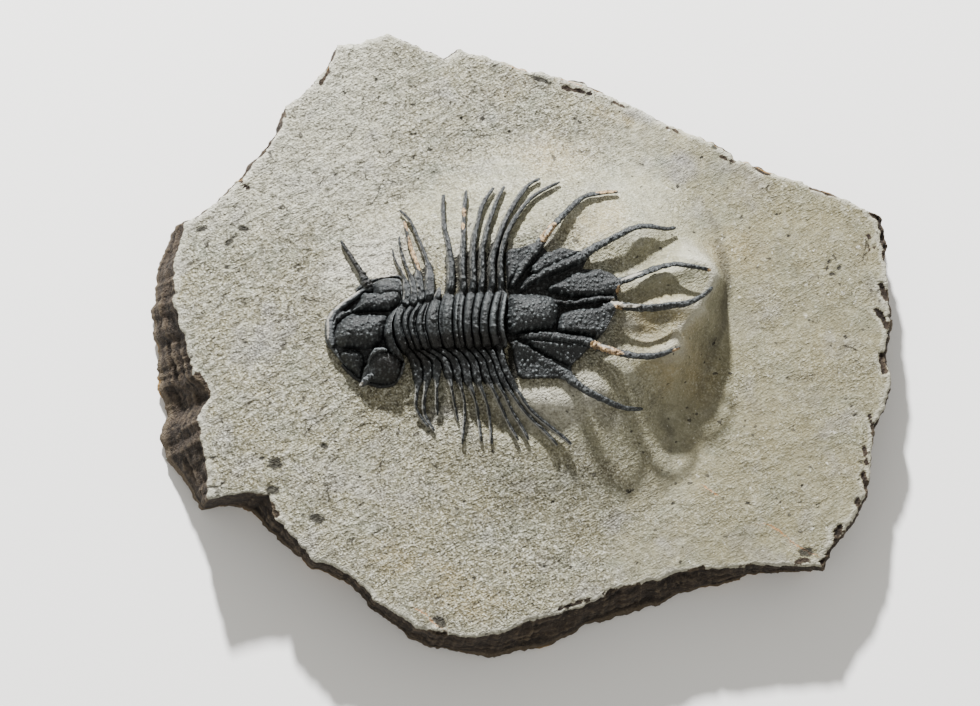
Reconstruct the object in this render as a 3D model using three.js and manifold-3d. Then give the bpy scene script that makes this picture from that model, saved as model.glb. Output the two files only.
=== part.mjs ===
// A spiny lichid trilobite, prepared out of a grey limestone slab and left standing on a carved
// pedestal of the same stone. The slab lies flat with the fossil up. The head points to -X, the tail
// to +X, and the animal's right side is +Y. Lengths are in millimetres. A height "over the ground"
// is measured from the carved stone below it.
import * as THREE from "three";
import { mergeVertices } from "three/addons/utils/BufferGeometryUtils.js";
import Module from "manifold-3d";

const wasm = await Module();
wasm.setup();

const topShare = 0.985; // a top face stops this share of the way out to its outline

// The slab
const slabHeight = 17; // top face over the underside, at the middle of the slab
const topFallX = 0.03; // the top face falls by this share of the way towards the tail
const topFallY = 0.02; // and by this share of the way towards the animal's right
const ringCentre = { x: 8, y: 6 }; // the slab's rings of points are laid round this place
const circleRadii = [5, 10, 14, 18, 21.5, 25, 28.5, 32, 35.5, 39, 43, 48, 54];
const outerRings = 3; // past the last circle the rings open out to the slab's outline
const edgeDrop = 1.2; // how far the chipped top edge lies below the top face
const footInset = 1.6; // how far the flat underside stops short of the flank's foot
const footHeight = 0.1; // share of the flank's height that is left for that bevel

// The carved pedestal: height over the top face, and for each direction its flat top's and its foot's radius
const moundCentre = { x: 10, y: 8 };
const moundHeight = 13;
const moundReach = [
  [-180, 14, 66],
  [-150, 10, 56],
  [-125, 8, 55],
  [-90, 10, 60],
  [-65, 11, 53],
  [-45, 18, 38],
  [-15, 25, 38],
  [0, 30, 40],
  [13, 35, 42],
  [38, 22, 45],
  [75, 17, 45],
  [135, 20, 50],
  [180, 14, 66],
];

// Walls left standing (rise above 0) and hollows cut (rise below 0), each turned by some degrees
const carving = [
  { x: 32, y: 15.5, long: 11, wide: 2.6, turn: 18, rise: 1.8 },
  { x: 32, y: 8, long: 11, wide: 2.4, turn: 4, rise: 1.8 },
  { x: 31, y: 21, long: 8, wide: 3.5, turn: 25, rise: -2 },
  { x: 31, y: 1.8, long: 10, wide: 4.2, turn: 0, rise: -2.6 },
  { x: 14, y: 27, long: 7, wide: 3.5, turn: 40, rise: -1.5 },
  { x: -7, y: -18, long: 13, wide: 4, turn: -8, rise: -1.6 },
  { x: -24, y: -17, long: 6, wide: 4, turn: 0, rise: -1.2 },
  { x: -32, y: 21, long: 7, wide: 4, turn: 10, rise: -1 },
];

// The slab's top outline, anticlockwise from the tail end, with how far the underside stands out past it
const slabOutline = [
  [90.3, 14.7, 0.5],
  [90, 22.9, 0.5],
  [91, 25.9, 0],
  [89.5, 33.4, 0.5],
  [85.1, 34.8, 1],
  [78.7, 38, 1],
  [70.6, 41.2, 0.5],
  [61.3, 44.2, 1],
  [53.7, 47.2, 0.5],
  [47.6, 51.4, 1],
  [39.5, 54.5, 1],
  [32.5, 57.9, 0.5],
  [25.7, 61.5, 1],
  [17.6, 64.7, 1],
  [10.8, 67.3, 0.5],
  [3.5, 68.4, 1],
  [-2.8, 70.6, 1],
  [-7.9, 72, 1],
  [-13.8, 73.4, 0.5],
  [-17.7, 71.1, 1],
  [-24.7, 74.2, 1],
  [-31.7, 77.3, 0.5],
  [-38.3, 75, 1],
  [-43.7, 74.3, 0.5],
  [-44.6, 70.9, 1],
  [-48.7, 65.4, 1],
  [-52.9, 61.3, 1],
  [-56.4, 58.8, 0.5],
  [-57.2, 53.4, 1.5],
  [-60.6, 48.2, 1.5],
  [-66.9, 41, 2],
  [-73.1, 34.9, 2],
  [-80.4, 29.7, 3],
  [-83, 20, 4],
  [-83, 11, 5],
  [-81, 3, 6],
  [-78.6, -5.7, 8],
  [-74.6, -12.3, 10],
  [-77.5, -16.5, 9],
  [-76.6, -23.3, 8],
  [-75, -31.3, 4],
  [-75.4, -36.5, 1],
  [-68.2, -35.1, 1.5],
  [-60.7, -35.3, 2],
  [-59.8, -40.8, 1],
  [-55.2, -45.7, 1],
  [-51, -50.7, 0],
  [-45.8, -52.4, 0.5],
  [-40.2, -55.7, 0],
  [-36.1, -60.6, 0],
  [-27, -66.2, 1],
  [-22.3, -68.6, 1.5],
  [-12.4, -69.3, 3],
  [-6.4, -68.3, 5],
  [-1.4, -66, 6],
  [5, -64.5, 6.5],
  [10.6, -62.5, 5.5],
  [15.6, -60.9, 4],
  [21.2, -58.5, 6],
  [26.7, -57.2, 5.5],
  [33.3, -55.3, 5],
  [38.6, -53.6, 4.5],
  [46.9, -53.1, 3.5],
  [57.8, -52.5, 1],
  [68.2, -53, 0],
  [71.3, -52.6, 0],
  [77.1, -44.6, 0.5],
  [81, -39.3, 0.5],
  [83.1, -34.3, 1],
  [84.6, -28.5, 0.5],
  [85.5, -19, 1],
  [88.4, -13.8, 0.5],
  [90.4, -7.4, 0.5],
  [88.7, -0.6, 1.5],
  [90.2, 6.3, 0.5],
];

// The broken flank from the top edge down: share of the way down, share of the stand-out, depth of its steps
const flankRows = [
  [0, 0, 0.3],
  [0.16, 0.12, 0.9],
  [0.42, 0.5, 1.3],
  [0.68, 0.72, 1],
  [1 - footHeight, 1, 0.5],
];

// The shell
const clearance = 0.75; // air between the shell and the stone
const jointGap = 0.36; // air between the shell's jointed pieces
const swellingFoot = 1.3;

// The thorax: each segment's left and right pleural routes, from the axial furrow out to the spine's tip
const pleurae = [
  {
    left: [[-25.6, -7.8], [-26.9, -11.5], [-26.8, -16.5], [-24.9, -19.6], [-22.2, -21.3]],
    right: [[-28.7, 15.1], [-29.6, 19.6], [-31.2, 23.5]],
  },
  {
    left: [[-24, -8.7], [-24.9, -13.5], [-24, -17.2], [-22.6, -19.3]],
    right: [[-26.8, 14.7], [-28.4, 21], [-30, 26.6]],
  },
  {
    left: [[-21.9, -9.8], [-22.1, -13.5], [-21.2, -17.4]],
    right: [[-24.9, 14], [-26.4, 21], [-28.7, 29.5], [-30.3, 32.6]],
  },
  {
    left: [[-19.8, -9.5], [-18.9, -12.5], [-17.9, -15.4], [-16.8, -18.8]],
    right: [[-22.7, 14], [-23.9, 21.1], [-26.2, 28], [-27.8, 31.9]],
  },
  {
    left: [[-17.2, -9.5], [-16.1, -12.5], [-15.4, -16], [-14.7, -22.9]],
    right: [[-20.3, 13.4], [-20.6, 15.2]],
  },
  {
    left: [[-14.9, -9.5], [-13.7, -13], [-12.4, -17.5], [-11, -23.6]],
    right: [[-18, 12.6], [-18.4, 22.2], [-18.5, 31.2], [-18.6, 36.8]],
  },
  {
    left: [[-12.7, -9.2], [-11.6, -12.8], [-10.2, -17], [-8, -23.8]],
    right: [[-14.8, 12.6], [-14.6, 22.4], [-14, 31.3], [-13.3, 37.5]],
  },
  {
    left: [[-10.8, -9], [-9.5, -12.8], [-7.6, -16.8], [-4.8, -20.8], [-2.4, -23.4]],
    right: [[-11.8, 12.6], [-11.9, 22.4], [-10.3, 31.3], [-6.9, 38.7]],
  },
  {
    left: [[-9, -8.8], [-7.5, -12.3], [-5.3, -16], [-2.3, -19.7], [0.4, -23]],
    right: [[-9.2, 12.6], [-9.3, 22.4], [-7.6, 31.4], [-4.2, 38.8]],
  },
  {
    left: [[-7, -8.6], [-5.3, -11.9], [-2.7, -15.3], [1.6, -19.9], [6, -24.6]],
    right: [[-7.2, 13], [-6.8, 22.5], [-3.2, 31.4], [3.3, 40.7]],
  },
  {
    left: [[-5.3, -8.4], [-3.4, -11.6], [-0.5, -15], [4.5, -19.2], [10.3, -24]],
    right: [[-5.2, 13], [-4.6, 21.3], [0.5, 31], [9.4, 40]],
  },
];
// Where the first and the last segment cross the axial furrows and the middle of the back
const leftFurrow = { from: [-26.4, -1.8], to: [-5.7, 0.4] };
const rightFurrow = { from: [-27.6, 9.5], to: [-4.9, 11.5] };
const ringMiddle = { from: [-29.2, 3.6], to: [-6.4, 6.4] };
const segmentHalf = 1.05; // half the length of a segment along the body
const spineHalf = 0.55;
const spineLift = 1.3; // air under a pleural spine where it parts from its pleura
const ringCrest = 5; // height of the axial ring over the ground
const furrowCrest = 1.9;
const pleuraCrest = 2.4;

// The tail shield
const tailOutline = [
  [21.4, 9.6],
  [21.3, 13],
  [19.6, 16],
  [16.9, 18.2],
  [14.6, 20.6],
  [11.6, 21.8],
  [7.8, 21.4],
  [4.9, 20.9],
  [1.6, 22.6],
  [-1.7, 22.7],
  [-3.6, 21.4],
  [-3.5, 16.3],
  [-3.4, 11.1],
  [-3.8, 6],
  [-3, 0.4],
  [-3.2, -4.4],
  [-2.1, -9.3],
  [3.6, -9.5],
  [7.1, -9.3],
  [10, -8.1],
  [12.5, -5.3],
  [14.6, -2.6],
  [17.2, -0.2],
  [19.4, 2.4],
  [20.8, 6.2],
];
const tailCentre = { x: 8, y: 7 };
const tailEdge = 1.6;
const tailRise = 2.3;

// Each rib and the spine that it runs out into: x, y, half width, height of its underside and of its crest
const tailRibs = [
  [
    [-3, 12.5, 0.9, 1, 2.6],
    [-1, 16.8, 1.2, 1, 3.1],
    [1.9, 21.9, 1.1, 1, 3],
    [6.5, 28.3, 0.8, 1.2, 2.9],
    [12.2, 33.7, 0.65, 1, 2.2],
    [18.1, 36.4, 0.55, 0.9, 1.9],
    [23.4, 37.3, 0.35, 0.8, 1.5],
  ],
  [
    [1.2, 12.8, 0.9, 1, 2.8],
    [7.2, 16.4, 1.2, 1, 3.3],
    [14.2, 20.3, 1.15, 1, 3.4],
    [18.7, 23.2, 0.9, 2, 3.9],
    [23.1, 25.9, 0.85, 2.4, 4.1],
    [27.6, 27.9, 0.75, 2.2, 3.7],
    [32.5, 27.9, 0.6, 2, 3.2],
    [36.7, 27.9, 0.35, 1.8, 2.6],
  ],
  [
    [15.7, 11.4, 0.9, 1, 3],
    [20.2, 11.3, 1.1, 1, 3.3],
    [22.8, 12.8, 0.9, 1.6, 3.4],
    [26.1, 14.4, 0.8, 2, 3.6],
    [30.8, 16.7, 0.8, 2, 3.6],
    [35.6, 18, 0.75, 2.6, 4],
    [39.8, 17.4, 0.6, 3, 4.2],
    [43.5, 16.1, 0.35, 3.4, 4.2],
  ],
  [
    [16, 7.2, 0.9, 1, 3],
    [20.1, 7.8, 1.1, 1, 3.3],
    [26, 7.6, 0.85, 1.9, 3.5],
    [30.6, 7.7, 0.8, 2, 3.6],
    [35.6, 8.3, 0.75, 2.6, 4],
    [39.3, 9.2, 0.6, 3, 4.2],
    [43.2, 11.9, 0.35, 3.4, 4.2],
  ],
  [
    [0.2, 1.6, 0.9, 1, 2.8],
    [7.1, 0.5, 1.2, 1, 3.3],
    [14.9, -1.1, 1.15, 1, 3.3],
    [19.2, -2.5, 0.9, 1.9, 3.7],
    [24, -3.3, 0.8, 2.6, 4.2],
    [31, -2.8, 0.7, 3.6, 4.9],
    [38.1, -0.2, 0.35, 3.4, 4.2],
  ],
  [
    [-2, -0.6, 0.9, 1, 2.6],
    [2.5, -3.8, 1.2, 1, 3.1],
    [7.4, -7.8, 1.1, 1, 3.1],
    [10.9, -9.9, 0.9, 1.6, 3.3],
    [14.5, -12, 0.75, 2.4, 3.9],
    [19.7, -15.1, 0.65, 2.6, 3.9],
    [23.6, -16.1, 0.5, 2, 3],
    [27.6, -15.9, 0.35, 1.4, 2.1],
  ],
];

// The swollen panels between the ribs: x, y, half length, half width, turn in degrees, height over the ground
const tailPanels = [
  [-1.4, 19.2, 4.2, 1.9, 88, 2.8],
  [5.4, 17.9, 5.2, 1.9, 36, 3],
  [13.6, 13.3, 6.8, 2.8, 14, 3.4],
  [13.4, 3.9, 6.3, 3, -6, 3.4],
  [8.6, -3.2, 5.6, 2, -24, 3],
  [0.9, -6.6, 4.3, 2.1, -28, 2.8],
];
const tailAxis = [
  [-2.4, 6.4, 3.9, 1, 4.6],
  [-0.5, 6.6, 4.3, 1, 4.9],
  [3, 6.9, 3.9, 1, 4.6],
  [6, 7.3, 3, 1, 3.9],
  [8.2, 7.7, 1.6, 1, 3.1],
  [12, 8.3, 0.9, 1, 2.9],
  [18.4, 9, 0.7, 1, 2.8],
];

// The head's middle piece
const headOutline = [
  [-31, 5],
  [-30.2, 8],
  [-30, 11.2],
  [-30.1, 15.2],
  [-32.6, 15.6],
  [-35.2, 14.6],
  [-37.4, 12.4],
  [-40.6, 10.8],
  [-44, 8.1],
  [-46.2, 6],
  [-47, 3.6],
  [-46.6, 0.6],
  [-44.3, -1.9],
  [-41.4, -4.7],
  [-38, -6.8],
  [-35.2, -8],
  [-31.4, -8.2],
  [-29.6, -6.6],
  [-29.5, -3.4],
  [-30.5, 0],
];
const headCentre = { x: -37, y: 3 };
const headEdge = 1.6;
const headRise = 1.9;

// The head's swellings: x, y, half length, half width, turn in degrees, height over the ground
const headLobes = [
  [-39.2, 2.8, 6.6, 4.2, 0, 6.2],
  [-34.6, 2.8, 3.6, 2.6, 0, 5.4],
  [-36.4, 9, 5.6, 2.4, 10, 4.6],
  [-36.6, -3.6, 5.6, 2.4, -12, 4.6],
  [-32.4, 12.3, 3, 2.3, -8, 4.9],
  [-32.8, -5.6, 3, 2.3, 8, 4.9],
];
const occipitalRing = [
  [-30.6, 9.4, 0.7, 0.9, 2.6],
  [-31.7, 6.2, 0.9, 0.9, 4.6],
  [-32.2, 3.2, 0.95, 0.9, 5.3],
  [-31.7, 0.2, 0.9, 0.9, 4.6],
  [-30.6, -2.8, 0.7, 0.9, 2.6],
];
const frontRim = [
  [-41.8, 9.6, 0.5, 0.9, 2.2],
  [-44.3, 7.4, 0.55, 0.9, 2.4],
  [-45.9, 5.2, 0.6, 0.9, 2.5],
  [-46.2, 2.6, 0.6, 0.9, 2.5],
  [-45.3, 0.2, 0.6, 0.9, 2.5],
  [-43.4, -2.4, 0.55, 0.9, 2.3],
  [-40.4, -5, 0.5, 0.9, 2.1],
];

// The free cheeks, from the front of the head back to the genal corner
const rightCheek = [
  [-42.6, 10.6, 0.35, 0.6, 1.4],
  [-40.4, 12.2, 0.6, 0.6, 2.2],
  [-38.2, 13.8, 0.9, 0.6, 2.8],
  [-36, 15.8, 0.95, 0.6, 2.6],
  [-33.2, 17.1, 0.7, 0.6, 2.8],
  [-30.6, 16.9, 0.5, 0.6, 2.4],
];
const genalSpine = [
  [-37.2, 13.6, 0.8, 0.8, 2.4],
  [-38.4, 16, 0.75, 0.9, 2.5],
  [-40.6, 20.4, 0.65, 1.2, 2.5],
  [-42.8, 23.4, 0.55, 1, 2.1],
  [-43.4, 25.1, 0.35, 0.8, 1.5],
];
const leftCheek = [
  [-43, -4.8, 0.35, 0.9, 1.6],
  [-40.6, -7.1, 0.55, 0.8, 1.9],
  [-37.5, -8.6, 0.8, 0.7, 2.3],
  [-34.4, -9.6, 0.7, 0.7, 2.3],
  [-31.4, -9.9, 0.6, 0.7, 2],
  [-28.9, -8.9, 0.35, 0.7, 1.3],
];
const genalStub = [
  [-37.4, -8.2, 0.8, 0.8, 2.2],
  [-38.2, -9.6, 0.6, 0.8, 1.8],
  [-38.9, -10.9, 0.3, 0.8, 1.1],
];

// Surface colours
const stoneFinish = { color: 0xa5a398, roughness: 0.95, metalness: 0 };
const shellFinish = { color: 0x34373a, roughness: 0.7, metalness: 0 };

function smoothstep(t) {
  const held = Math.min(Math.max(t, 0), 1);
  return held * held * (3 - 2 * held);
}

function between(a, b, share) {
  return a + (b - a) * share;
}

// The mound's flat top's and foot's radius in one direction
function moundReachAt(degrees) {
  const next = moundReach.findIndex((row) => row[0] >= degrees);
  if (next < 1) return moundReach[0].slice(1);
  const [low, high] = [moundReach[next - 1], moundReach[next]];
  const share = smoothstep((degrees - low[0]) / (high[0] - low[0]));
  return [between(low[1], high[1], share), between(low[2], high[2], share)];
}

function moundRise(x, y) {
  const reach = Math.hypot(x - moundCentre.x, y - moundCentre.y);
  const degrees = THREE.MathUtils.radToDeg(Math.atan2(y - moundCentre.y, x - moundCentre.x));
  const [top, foot] = moundReachAt(degrees);
  return moundHeight * smoothstep((foot - reach) / (foot - top));
}

function carvedRise(x, y) {
  let rise = 0;
  for (const cut of carving) {
    const turn = THREE.MathUtils.degToRad(cut.turn);
    const along = ((x - cut.x) * Math.cos(turn) + (y - cut.y) * Math.sin(turn)) / cut.long;
    const across = ((y - cut.y) * Math.cos(turn) - (x - cut.x) * Math.sin(turn)) / cut.wide;
    rise += cut.rise * Math.exp(-(along * along + across * across));
  }
  return rise;
}

// Height of the stone's top surface
function ground(x, y) {
  return slabHeight - topFallX * x - topFallY * y + moundRise(x, y) + carvedRise(x, y);
}

// One closed skin over a row of rings with as many points each, closed at both ends round the ring's middle
function loft(rings) {
  const count = rings[0].length;
  const points = rings.flat();
  const triangles = [];
  for (let r = 0; r + 1 < rings.length; r++) {
    for (let i = 0; i < count; i++) {
      const a = r * count + i;
      const b = r * count + ((i + 1) % count);
      triangles.push(a, a + count, b + count, a, b + count, b);
    }
  }
  for (const last of [false, true]) {
    const ring = last ? rings[rings.length - 1] : rings[0];
    const start = last ? (rings.length - 1) * count : 0;
    const middle = new THREE.Vector3();
    ring.forEach((point) => middle.addScaledVector(point, 1 / count));
    points.push(middle);
    for (let i = 0; i < count; i++) {
      const pair = [start + i, start + ((i + 1) % count)];
      if (last) pair.reverse();
      triangles.push(points.length - 1, ...pair);
    }
  }
  return new THREE.BufferGeometry().setFromPoints(points).setIndex(triangles);
}

// A ridge with a rounded back that follows the ground: each station is x, y, half width, underside, crest
const ridgeSection = [[0.9, 0], [1, 0.6], [0, 1], [-1, 0.6], [-0.9, 0]];
function ridge(stations) {
  const rings = stations.map(([x, y, half, base, crest], i) => {
    const before = stations[Math.max(i - 1, 0)];
    const after = stations[Math.min(i + 1, stations.length - 1)];
    const ahead = new THREE.Vector2(after[0] - before[0], after[1] - before[1]).normalize();
    return ridgeSection.map(([across, up]) => {
      const px = x + ahead.y * across * half;
      const py = y - ahead.x * across * half;
      return new THREE.Vector3(px, py, ground(px, py) + between(base, crest, up));
    });
  });
  return loft(rings);
}

// A ridge with more stations than it was given, on one smooth curve through them
function smoothRidge(stations, count) {
  const places = stations.map(([x, y, half]) => new THREE.Vector3(x, y, half));
  const levels = stations.map(([, , , base, crest]) => new THREE.Vector3(base, crest, 0));
  const route = new THREE.CatmullRomCurve3(places);
  const heights = new THREE.CatmullRomCurve3(levels);
  const finer = [];
  for (let i = 0; i < count; i++) {
    const share = i / (count - 1);
    const place = route.getPoint(share);
    const height = heights.getPoint(share);
    finer.push([place.x, place.y, place.z, height.x, height.y]);
  }
  return ridge(finer);
}

// A thin shield inside an outline, resting on the ground and rising from its edge towards its middle
function shield(outline, centre, edge, rise) {
  const ringAt = (share, height) =>
    outline.map(([x, y]) => {
      const px = between(centre.x, x, share);
      const py = between(centre.y, y, share);
      return new THREE.Vector3(px, py, ground(px, py) + height);
    });
  const top = [0.3, 0.6, 0.85].map((share) => ringAt(share, between(rise, edge, share * share)));
  const under = [1, 0.85, 0.6, 0.3].map((share) => ringAt(share, clearance));
  return loft([...top, ringAt(topShare, edge), ...under]);
}

// A round swelling that stands on the ground, with a flat foot inside the shield that carries it
function swelling([x, y, long, wide, turn, height]) {
  const lump = new THREE.SphereGeometry(1, 9, 6);
  lump.rotateX(Math.PI / 2);
  lump.scale(long, wide, height - swellingFoot);
  lump.rotateZ(THREE.MathUtils.degToRad(turn));
  lump.translate(x, y, ground(x, y) + swellingFoot);
  const points = lump.getAttribute("position");
  for (let i = 0; i < points.count; i++) {
    const foot = ground(points.getX(i), points.getY(i)) + swellingFoot;
    points.setZ(i, Math.max(points.getZ(i), foot));
  }
  return lump;
}

// Small pointed grains along a swelling's back
function grains([x, y, long, wide, turn, height], radius, rows, seed) {
  const made = [];
  const angle = THREE.MathUtils.degToRad(turn);
  for (let i = 0; i < rows; i++) {
    const swing = (seed + i) * 2.4;
    const out = 0.78 * Math.sqrt((i + 0.5) / rows);
    const u = out * Math.cos(swing);
    const v = out * Math.sin(swing);
    const px = x + u * long * Math.cos(angle) - v * wide * Math.sin(angle);
    const py = y + u * long * Math.sin(angle) + v * wide * Math.cos(angle);
    const pz = ground(x, y) + swellingFoot + (height - swellingFoot) * Math.sqrt(1 - out * out);
    const grain = new THREE.OctahedronGeometry(radius);
    grain.rotateZ(swing);
    grain.translate(px, py, pz);
    made.push(grain);
  }
  return made;
}

function toSolid(geometry) {
  const bare = geometry.clone();
  bare.deleteAttribute("normal");
  bare.deleteAttribute("uv");
  const merged = mergeVertices(bare, 1e-4);
  return new wasm.Manifold(
    new wasm.Mesh({
      numProp: 3,
      vertProperties: merged.getAttribute("position").array,
      triVerts: new Uint32Array(merged.index.array),
    }),
  );
}

// Several closed shapes grown together into one
function fuse(shapes) {
  let whole = toSolid(shapes[0]);
  for (const shape of shapes.slice(1)) whole = whole.add(toSolid(shape));
  const mesh = whole.getMesh();
  const geometry = new THREE.BufferGeometry();
  geometry.setAttribute("position", new THREE.BufferAttribute(mesh.vertProperties, 3));
  return geometry.setIndex(new THREE.BufferAttribute(mesh.triVerts, 1));
}

// Rings on the top face: circles round the fossil, then shapes that open out to the outline
function topRings() {
  const rings = [];
  const circle = (radius) =>
    slabOutline.map(([x, y]) => {
      const angle = Math.atan2(y - ringCentre.y, x - ringCentre.x);
      return [ringCentre.x + radius * Math.cos(angle), ringCentre.y + radius * Math.sin(angle)];
    });
  for (const radius of circleRadii) rings.push(circle(radius));
  const rim = rings[rings.length - 1];
  for (let i = 1; i <= outerRings; i++) {
    const share = (i / outerRings) * topShare;
    rings.push(rim.map(([x, y], k) => [
      between(x, slabOutline[k][0], share),
      between(y, slabOutline[k][1], share),
    ]));
  }
  return rings.map((ring) => ring.map(([x, y]) => new THREE.Vector3(x, y, ground(x, y))));
}

// Each point of the outline moves outwards on its way down the flank, with chips that differ from row to row
function flankRing([down, outShare, step], row) {
  return slabOutline.map(([x, y, out], k) => {
    const reach = Math.hypot(x - ringCentre.x, y - ringCentre.y);
    const chip = step * Math.sin(k * 2.1 + row * 1.7) * Math.sin(k * 0.63 + row);
    const grow = 1 + (out * outShare + chip) / reach;
    const px = between(ringCentre.x, x, grow);
    const py = between(ringCentre.y, y, grow);
    const edge = ground(x, y) - edgeDrop;
    return new THREE.Vector3(px, py, between(edge, 0, down));
  });
}

function slab() {
  const flank = flankRows.map(flankRing);
  const middle = new THREE.Vector3(ringCentre.x, ringCentre.y, 0);
  const underside = flank[flank.length - 1].map((foot) => {
    const edge = new THREE.Vector3(foot.x, foot.y, 0);
    return edge.lerp(middle, footInset / edge.distanceTo(middle));
  });
  return loft([...topRings(), ...flank, underside]);
}

// Half width of a segment at a place, so that it stays clear of its neighbours' middle lines
function roomAt(place, neighbours, wanted) {
  let room = wanted;
  for (const line of neighbours) {
    for (let i = 0; i + 1 < line.length; i++) {
      const edge = new THREE.Line3(line[i], line[i + 1]);
      const nearest = edge.closestPointToPoint(place, true, new THREE.Vector3());
      room = Math.min(room, (nearest.distanceTo(place) - jointGap) / 2);
    }
  }
  return room;
}

// One segment's middle line from its left spine's tip over the axial ring to its right spine's tip
function segmentLine(index) {
  const share = index / (pleurae.length - 1);
  const place = ({ from, to }) =>
    new THREE.Vector3(between(from[0], to[0], share), between(from[1], to[1], share), 0);
  const flat = ([x, y]) => new THREE.Vector3(x, y, 0);
  const { left, right } = pleurae[index];
  const leftBase = place(leftFurrow);
  const rightBase = place(rightFurrow);
  const middle = place(ringMiddle);
  const axis = new THREE.QuadraticBezierCurve3(
    leftBase,
    middle.clone().multiplyScalar(2).sub(leftBase.clone().add(rightBase).multiplyScalar(0.5)),
    rightBase,
  );
  const leftRoute = new THREE.CatmullRomCurve3([leftBase, ...left.map(flat)]);
  const rightRoute = new THREE.CatmullRomCurve3([rightBase, ...right.map(flat)]);
  return {
    left: leftRoute.getSpacedPoints(8).slice(1).reverse(),
    axis: axis.getSpacedPoints(6),
    right: rightRoute.getSpacedPoints(right.length > 2 ? 8 : 3).slice(1),
  };
}

function segment(index, lines) {
  const { left, axis, right } = lines[index];
  const neighbours = [index - 1, index + 1]
    .filter((k) => k >= 0 && k < lines.length)
    .map((k) => [...lines[k].left, ...lines[k].axis, ...lines[k].right]);
  const stations = [];
  const add = (p, wanted, base, crest) =>
    stations.push([p.x, p.y, roomAt(p, neighbours, wanted), base, crest]);
  const pleura = (route, i, count) => {
    const out = (i + 1) / count;
    const spine = smoothstep((out - 0.2) / 0.3);
    const wanted = between(segmentHalf, spineHalf, spine) * (out > 0.95 ? 0.6 : 1);
    const base = between(clearance, spineLift, spine * (1 - 0.3 * out));
    const crest = between(pleuraCrest, base + 1.15, spine);
    add(route, wanted, base, out > 0.95 ? base + 0.7 : crest);
  };
  left.forEach((p, i) => pleura(p, left.length - 1 - i, left.length));
  axis.forEach((p, i) => {
    const side = (2 * i) / (axis.length - 1) - 1;
    const arch = Math.sqrt(1 - side * side);
    add(p, segmentHalf, clearance, between(furrowCrest, ringCrest, arch));
  });
  right.forEach((p, i) => pleura(p, i, right.length));
  return ridge(stations);
}

function tail() {
  const parts = [shield(tailOutline, tailCentre, tailEdge, tailRise)];
  parts.push(smoothRidge(tailAxis, 8));
  for (const rib of tailRibs) parts.push(smoothRidge(rib, 11));
  tailPanels.forEach((panel, i) => {
    parts.push(swelling(panel));
    parts.push(...grains(panel, 0.65, 5, i * 3));
  });
  return fuse(parts);
}

function head() {
  const parts = [shield(headOutline, headCentre, headEdge, headRise)];
  parts.push(smoothRidge(occipitalRing, 7));
  parts.push(smoothRidge(frontRim, 9));
  for (const lobe of headLobes) parts.push(swelling(lobe));
  return fuse(parts);
}

function cheek(border, spine) {
  return fuse([smoothRidge(border, 10), smoothRidge(spine, 8)]);
}

const group = new THREE.Group();
function place(name, geometry, finish) {
  const mesh = new THREE.Mesh(geometry, new THREE.MeshStandardMaterial(finish));
  mesh.name = name;
  group.add(mesh);
}

place("matrix", slab(), stoneFinish);
place("cranidium", head(), shellFinish);
place("free_cheek_right", cheek(rightCheek, genalSpine), shellFinish);
place("free_cheek_left", cheek(leftCheek, genalStub), shellFinish);
const lines = pleurae.map((_, index) => segmentLine(index));
lines.forEach((_, index) => {
  const number = String(index + 1).padStart(2, "0");
  place("thorax_segment_" + number, segment(index, lines), shellFinish);
});
place("pygidium", tail(), shellFinish);

// The part's frame has its origin under the middle of the slab
const box = new THREE.Box3().setFromObject(group);
const middle = box.getCenter(new THREE.Vector3());
group.position.set(-middle.x, -middle.y, 0);
const part = new THREE.Group().add(group);

export default part;
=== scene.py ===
# A black spiny trilobite standing on the carved pedestal of its own limestone slab, seen from above.
# The shapes are drawn in millimetres round the fossil, as in the part's source, then moved to the frame.
import math
import bpy
import numpy as np
from mathutils import Matrix, Vector


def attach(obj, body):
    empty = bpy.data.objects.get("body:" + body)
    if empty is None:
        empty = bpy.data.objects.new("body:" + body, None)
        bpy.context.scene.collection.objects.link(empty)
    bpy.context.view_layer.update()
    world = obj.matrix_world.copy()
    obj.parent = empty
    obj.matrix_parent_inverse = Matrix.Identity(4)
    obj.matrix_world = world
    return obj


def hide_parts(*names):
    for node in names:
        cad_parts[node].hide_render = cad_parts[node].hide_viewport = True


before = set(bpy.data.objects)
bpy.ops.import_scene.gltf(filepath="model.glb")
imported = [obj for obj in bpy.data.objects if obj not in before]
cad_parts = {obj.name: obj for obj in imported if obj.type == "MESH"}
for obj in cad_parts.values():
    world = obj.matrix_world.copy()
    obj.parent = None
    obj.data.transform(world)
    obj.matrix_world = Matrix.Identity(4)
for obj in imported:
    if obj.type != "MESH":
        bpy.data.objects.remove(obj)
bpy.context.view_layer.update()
print("frame loaded,", len(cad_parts), "nodes")

mm = 0.001
drawingShift = np.array([-1.6877, -2.3799, 0.0])    # mm, from the drawing to the middle of the slab


# Number helpers

def smoothstep(t):
    held = np.clip(t, 0, 1)
    return held * held * (3 - 2 * held)


def between(a, b, share):
    return a + (b - a) * share


def smoothMax(a, b, blend):
    # the higher of two heights, with a rounded seam of about that size
    gap = np.clip(0.5 + 0.5 * (a - b) / blend, 0, 1)
    return b + (a - b) * gap + blend * gap * (1 - gap)


def scattered(ix, iy, iz, seed):
    # one repeatable random number from 0 to 1 for each whole-number place
    mixed = ix * 374761393 + iy * 668265263 + iz * 2147483647 + seed * 974634777
    mixed = (mixed ^ (mixed >> 13)) * 1274126177 & 0xFFFFFFFF
    return ((mixed ^ (mixed >> 16)) & 0xFFFFFF) / 0xFFFFFF


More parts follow.
